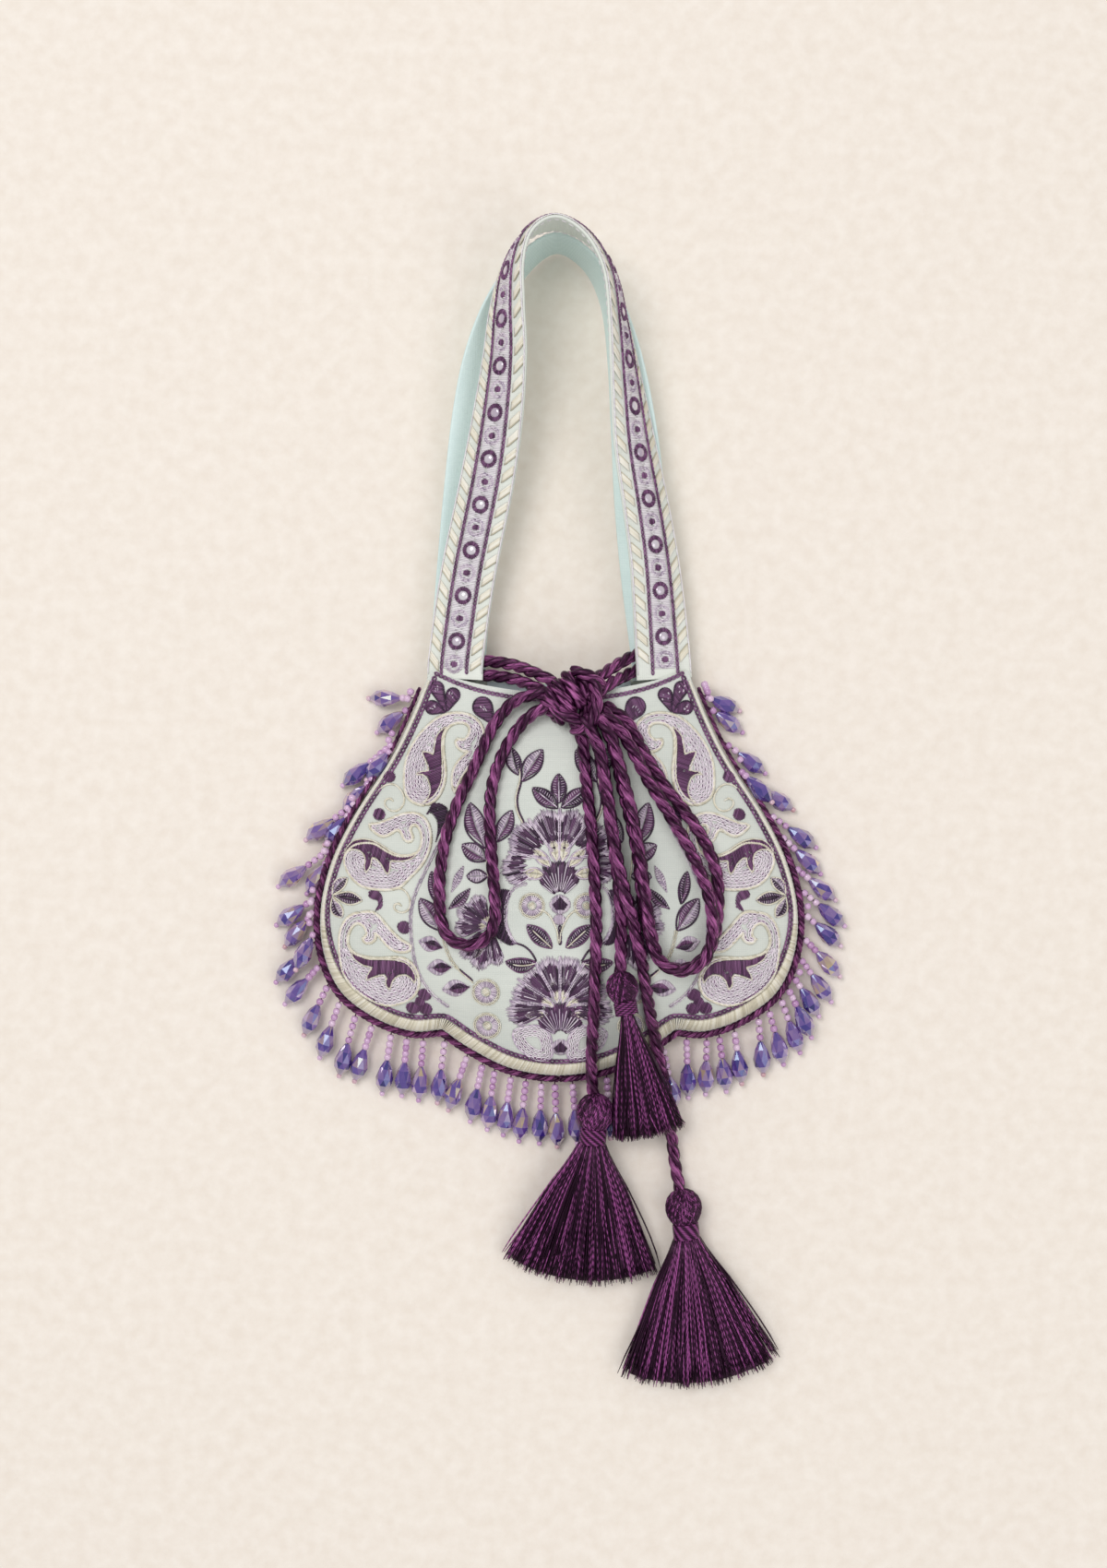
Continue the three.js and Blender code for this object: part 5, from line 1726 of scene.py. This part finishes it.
# Pale line along each edge of the front strap: a painted highlight on its turned edge
EDGE_HIGHLIGHT_PLACE = 11.3
EDGE_HIGHLIGHT_LINE = dict(pitch=1.3, radius=0.3)
STUD_FIRST = 15.4
STUD_LAST = 17.4
STUD_PITCH = 18.6
STUD_INNER = 2.0
STUD_OUTER = 3.75
EYE_R = 1.45
EYE_RING_R = 3.2
EYE_RING = dict(pitch=1.5, half=0.45, radius=0.34, low=0.0, high=0.7)
MIRROR_R = 2.2
MIRROR_HEIGHT = 1.0
MIRROR_FOOT = 0.15
MIRROR_RINGS = 7
MIRROR_SIDES = 18
MIRROR_REFLECTION_TINTS = (0.5, 1.0)
HEM_PLACE = 10.2
HEM_START = 4
HEM_END = 6
HEM_PITCH = 3.4
HEM_LENGTH = 2.2
HEM = dict(lift=0.25, radius=0.26)


def strap_place(rows, crown, facing=1):
    """Length of a strap, and a function that sets chart points on it: along, across, height."""
    middle, across, face = strap_frames(rows, STRAP_FINE_STEPS)
    run = run_along(middle)

    def place(s, u, height):
        at = [
            np.stack([np.interp(s, run, table[:, k]) for k in range(3)], axis=-1)
            for table in (middle, across, face)
        ]
        lift = strap_top(u, crown if facing > 0 else 0) + height
        return at[0] + at[1] * u[..., None] + facing * at[2] * lift[..., None], facing * at[2]

    return run[-1], place


def at_place(s, u):
    """Chart points of a strap along s, all at one place across it or each at its own."""
    return np.stack(np.broadcast_arrays(s, u), axis=1)


def strap_ground(length, place):
    """Ribbon of pale floss across the middle, in two stitches that meet at an uneven line."""
    s = np.arange(GROUND_BARE, length - GROUND_BARE, GROUND_PITCH)
    meet = rng.uniform(-GROUND_STAGGER, GROUND_STAGGER, len(s))
    for from_u, to_u in ((-GROUND_HALF, meet), (meet, GROUND_HALF)):
        straight("pale", at_place(s, from_u), at_place(s, to_u), place=place, **GROUND)


def strap_stripes(length, place):
    """Slanting bars on both sides of the ribbon, the first thread of each in shadow."""
    for k in range(STRIPE_THREADS):
        starts, ends = [], []
        for s in np.arange(STRIPE_START, length - STRIPE_END, STRIPE_PITCH):
            rise = STRIPE_RISE if s < length / 2 else -STRIPE_RISE
            from_s = s + STRIPE_THREAD_PITCH * k - min(rise, 0)
            for side in (-1, 1):
                starts.append((from_s, side * STRIPE_INNER))
                ends.append((from_s + rise, side * STRIPE_OUTER))
        straight("cream", starts, ends, place=place, **STRIPE, **(STRIPE_LIGHT if k else STRIPE_SHADOW))


def strap_studs(length, place):
    """Rings for the mirror studs, with an eye before, between and after them; returns the studs' places."""
    count = round((length - STUD_FIRST - STUD_LAST) / STUD_PITCH)
    studs = np.linspace(STUD_FIRST, length - STUD_LAST, count + 1)
    for s in studs:
        ring("purple", np.array([s, 0]), STUD_INNER, STUD_OUTER, place, lift=0.9)
        satin("purple", disc((s, 0), MIRROR_R), UPRIGHT, place=place)
    half_pitch = (studs[1] - studs[0]) / 2
    for s in np.append(studs - half_pitch, studs[-1] + half_pitch):
        chain("lilac", joined(disc((s, 0), EYE_RING_R)), place=place, **EYE_RING)
        satin("purple", disc((s, 0), EYE_R), 0, lift=0.7, place=place)
    return studs


def hem(rows):
    """Running stitch along both edges of a strap's underside."""
    length, under = strap_place(rows, 0, -1)
    s = np.arange(HEM_START, length - HEM_END, HEM_PITCH)
    for side in (-1, 1):
        starts = at_place(s, side * HEM_PLACE)
        straight("pale", starts, starts + (HEM_LENGTH, 0), place=under, **HEM)


def dome(s, place):
    """Mirror stud at a place along a strap."""
    turn = np.linspace(0, 1, MIRROR_RINGS)[:, None] * math.pi / 2
    angle = TAU * np.arange(MIRROR_SIDES) / MIRROR_SIDES
    r = MIRROR_R * np.sin(turn)
    height = np.broadcast_to(MIRROR_FOOT + MIRROR_HEIGHT * np.cos(turn), (MIRROR_RINGS, MIRROR_SIDES))
    points, _ = place(s + r * np.cos(angle), r * np.sin(angle), height)
    # Each stud's tint is a painted reflection
    return grid(points, closed=True, tint=rng.uniform(*MIRROR_REFLECTION_TINTS))


def embroider_strap():
    """Embroidery of the front strap and the hems of both; returns the mirror studs."""
    length, place = strap_place(FRONT_STRAP, STRAP_CROWN)
    strap_ground(length, place)
    strap_stripes(length, place)
    s = np.linspace(LINES_BARE, length - LINES_BARE, LINES_STEPS)
    for side in (-1, 1):
        chain("purple", at_place(s, side * DARK_LINE_PLACE), place=place, **DARK_LINE)
        # The pale line along each edge is a painted highlight on the strap's turned edge
        stem("pale", at_place(s, side * EDGE_HIGHLIGHT_PLACE), place=place, **EDGE_HIGHLIGHT_LINE)
    studs = strap_studs(length, place)
    hem(FRONT_STRAP)
    hem(BACK_STRAP)
    return [dome(stud, place) for stud in studs]


mirrors = embroider_strap()
piece("strap_ribbon", stitches.pop("pale"), PALE, "trim", ["strap_trim"])
piece("strap_rings", stitches.pop("lilac"), LILAC, "trim")
piece("strap_stripes", stitches.pop("cream"), CREAM, "silk")
piece("strap_lines", stitches.pop("purple"), PURPLE, "cord_silk")
piece("strap_mirrors", mirrors, MIRROR_PAINTED_REFLECTION, "bead_glass")


# Fringe: twisted piping on the seam, strung seed beads and faceted drops
HEADER_STEPS = 120


def seam_header():
    """Middle of the right half's header cord from the bottom to the mouth, and its outward directions."""
    seam = seam_points(HEADER_STEPS, HEADER_STEPS)
    half = seam[(len(seam) - 1) // 2:]
    along = unit(np.gradient(half, axis=0))
    outward = np.stack([along[:, 1], -along[:, 0]], axis=1)
    outward[0] = (0, -1)
    place = half + outward * (HEADER_R + GAP)
    z = SEAM_Z + 0.5 * MOUTH_OPEN * mouth_share(half[:, 1])
    keep = place[:, 1] < HEADER_END_Y
    return np.column_stack([place, z])[keep], np.column_stack([outward, 0 * z])[keep]


def turned(points, direction):
    """Points of a lathe about +Y, turned so that its axis follows a direction."""
    y = np.asarray(direction)
    x = unit(np.cross(y, UP))
    z = np.cross(x, y)
    return points[..., :1] * x + points[..., 1:2] * y + points[..., 2:] * z


# Drops and seed beads: radius and place along the axis, and for the drops a tint shift for each ring of
# facets, darker towards the tip as painted shade
DROP_PROFILE = [(1.0, 0), (2.75, 3.3), (DROP_R, 7.6), (3.35, 10.4), (1.15, DROP_LENGTH)]
DROP_RING_SHADING = [0.08, 0.14, -0.06, -0.26]
# Scatter of the facets' tints, as painted reflections of the coat
DROP_FACET_REFLECTION_SCATTER = 0.2
DROP_TINTS = (0.2, 0.65)
DROP_FACETS = 8
SEED_R = 1.4
SEED_HALF = 1.25
SEED_PROFILE = [
    (0.5, -SEED_HALF), (1.05, -1.1), (SEED_R, -0.45), (SEED_R, 0.45), (1.05, 1.1), (0.5, SEED_HALF),
]
SEED_SIDES = 12
SEED_SIZES = (1.0, 1.12)
SEED_TINTS = (0.1, 0.9)
SEED_PITCH = 2.9
SEED_START = 2.2
SLACK_STRING = 12.0
END_SEED = 0.8
END_TINTS = [0.3, 0.6, 1.0]
STRING_R = 0.3
STRING_SIDES = 6
PIPING_LAY = 7.0
PIPING_STEP = 0.7
PIPING_SIDES = 7
PIPING_THIN_R = 0.9
PIPING_THINS_Y = (-15, 45)


def facets(points, tint):
    """Rings of points, each turned half a step on, as flat triangles with a tint of their own: shifted for
    each ring, darker towards the tip as painted shade, and scattered from facet to facet as painted
    reflections of the coat.
    """
    rows, columns = points.shape[:2]
    triangles = []
    for k in range(rows - 1):
        a, b = points[k], points[k + 1]
        a_next, b_next = np.roll(a, -1, axis=0), np.roll(b, -1, axis=0)
        triangles += [np.stack([a, a_next, b], axis=1), np.stack([b, a_next, b_next], axis=1)]
    corners = np.concatenate(triangles)
    # Lower rings of facets are darkened as painted shade
    ring_shading = np.repeat(DROP_RING_SHADING, 2 * columns)
    tints = np.clip(tint + ring_shading + rng.normal(0, DROP_FACET_REFLECTION_SCATTER, len(corners)), 0, 1)
    ends = [points[0, ::-1], points[-1]]
    verts = np.vstack([corners.reshape(-1, 3)] + ends)
    faces = np.arange(3 * len(corners)).reshape(-1, 3)
    caps = 3 * len(corners) + np.arange(2 * columns).reshape(2, columns)
    return part(verts, [faces, caps], tint=np.append(np.repeat(tints, 3), np.full(2 * columns, tint)))


def strand_line(header, x, y, foot_x, foot_y, lift=0):
    """Start of a strand on the header cord, its direction and the length of its bead string."""
    anchor = header[np.argmin(np.linalg.norm(header - (x, y, SEAM_Z), axis=1))]
    reach = math.hypot(foot_x - anchor[0], foot_y - anchor[1])
    widest = reach - (1 - DROP_WIDEST) * DROP_LENGTH
    fall = (anchor[2] - DROP_R - TABLE_CLEAR - lift) / widest * reach
    line = np.array([foot_x - anchor[0], foot_y - anchor[1], -fall])
    return anchor, unit(line), float(np.linalg.norm(line)) - DROP_LENGTH


def seed_bead(place, direction, size, tint):
    return capped(place + turned(revolve(SEED_PROFILE, SEED_SIDES), direction) * size, tint)


def fringe(word, side):
    """Half of the fringe: side is -1 for the left and 1 for the right."""
    header, outward = (rows * (side, 1, 1) for rows in seam_header())
    run = run_along(header)
    beside = header + outward * (HEADER_R + SEED_R)
    along = unit(np.gradient(header, axis=0))
    drops, seeds, strings = [], [], []
    for row in STRANDS[word]:
        anchor, direction, string = strand_line(header, *row)
        drop = turned(revolve(DROP_PROFILE, DROP_FACETS, twist=0.5, roll=rng.random()), direction)
        drops.append(facets(anchor + direction * string + drop, rng.uniform(*DROP_TINTS)))
        count = max(1, round((string - SEED_START) / SEED_PITCH))
        strung = SEED_START + (string - SEED_START) * (np.arange(count) + 0.5) / count
        places = [(anchor + direction * at, direction) for at in strung]
        # A short string has its other beads along the header cord
        start = run[np.argmin(np.linalg.norm(header - anchor, axis=1))]
        slack = int(max(0, SLACK_STRING - string) / SEED_PITCH)
        for at in start + SEED_PITCH * (np.arange(slack) + 0.5):
            index = np.argmin(np.abs(run - at))
            places.append((beside[index], along[index]))
        for place, heading in places:
            seeds.append(seed_bead(place, heading, rng.uniform(*SEED_SIZES), rng.uniform(*SEED_TINTS)))
        end = anchor + direction * (string + DROP_LENGTH + SEED_HALF * END_SEED)
        seeds.append(seed_bead(end, direction, END_SEED, rng.choice(END_TINTS)))
        strings.append([anchor + direction * string * share for share in (0, 0.5, 1)])
    piece(f"glass_drops_{word}", drops, DROP_GLASS, "bead_glass", [f"bead_fringe_{word}"], smooth=False)
    piece(f"seed_beads_{word}", seeds, SEED_GLASS, "bead_glass")
    radius = lerp(HEADER_R, PIPING_THIN_R, smoothstep(header[:, 1], *PIPING_THINS_Y))
    piping, _ = rope(header, radius, PIPING_LAY, sides=PIPING_SIDES, step=PIPING_STEP)
    piece(f"piping_{word}", [piping, tubes(strings, STRING_R, STRING_SIDES)], CORD_SILK, "cord_silk")


fringe("left", -1)
fringe("right", 1)


# Floor and light
FLOOR_HALF = 3.0
FLOOR_Z = -0.0004
FLOOR_COLOURS = [(0.3, (241, 230, 218)), (0.7, (248, 239, 229))]
GRAIN_SIZE = 0.006
GRAIN_DEPTH = 0.0015
floor_mesh = bpy.data.meshes.new("floor")
floor_mesh.from_pydata(
    [(x * FLOOR_HALF, y * FLOOR_HALF, FLOOR_Z) for x, y in [(-1, -1), (1, -1), (1, 1), (-1, 1)]],
    [], [(0, 1, 2, 3)],
)
floor = bpy.data.objects.new("floor", floor_mesh)
bpy.context.scene.collection.objects.link(floor)
floor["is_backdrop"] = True
paper, tree, shader = surface("pale_floor", Roughness=0.85, Specular_IOR_Level=0.2)
place = node(tree, "ShaderNodeTexCoord").outputs["Object"]
grain = noise(tree, place, GRAIN_SIZE, detail=6.0)
tree.links.new(ramp(tree, grain, FLOOR_COLOURS), shader.inputs["Base Color"])
bump(tree, shader, grain, strength=0.3, distance=GRAIN_DEPTH)
floor_mesh.materials.append(paper)

# Lights: name, place and size in metres, power in watts
LIGHTS = [("key", (-0.8, 0.75, 2.4), 1.2, 27), ("fill", (1.2, -0.7, 1.9), 1.4, 9)]
LIGHT_TARGET = (0, 0.03, 0)
SKY_STRENGTH = 0.54


def area_light(name, place, size, power):
    data = bpy.data.lights.new(name, "AREA")
    data.size = size
    data.energy = power
    light = bpy.data.objects.new(name, data)
    light.location = place
    x, y, z = np.array(LIGHT_TARGET) - np.array(place)
    light.rotation_euler = (math.acos(-z / math.hypot(x, y, z)), 0, math.atan2(-x, y))
    bpy.context.scene.collection.objects.link(light)


for row in LIGHTS:
    area_light(*row)
world = bpy.data.worlds.new("studio")
bpy.context.scene.world = world
world.use_nodes = True
sky = world.node_tree.nodes["Background"]
sky.inputs["Color"].default_value = (1, 1, 1, 1)
sky.inputs["Strength"].default_value = SKY_STRENGTH
bpy.context.scene.view_settings.view_transform = "Standard"

boxes = {"cad": cad_box, "visual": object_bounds()}
{key: [[float(v) for v in corner] for corner in box] for key, box in boxes.items()}
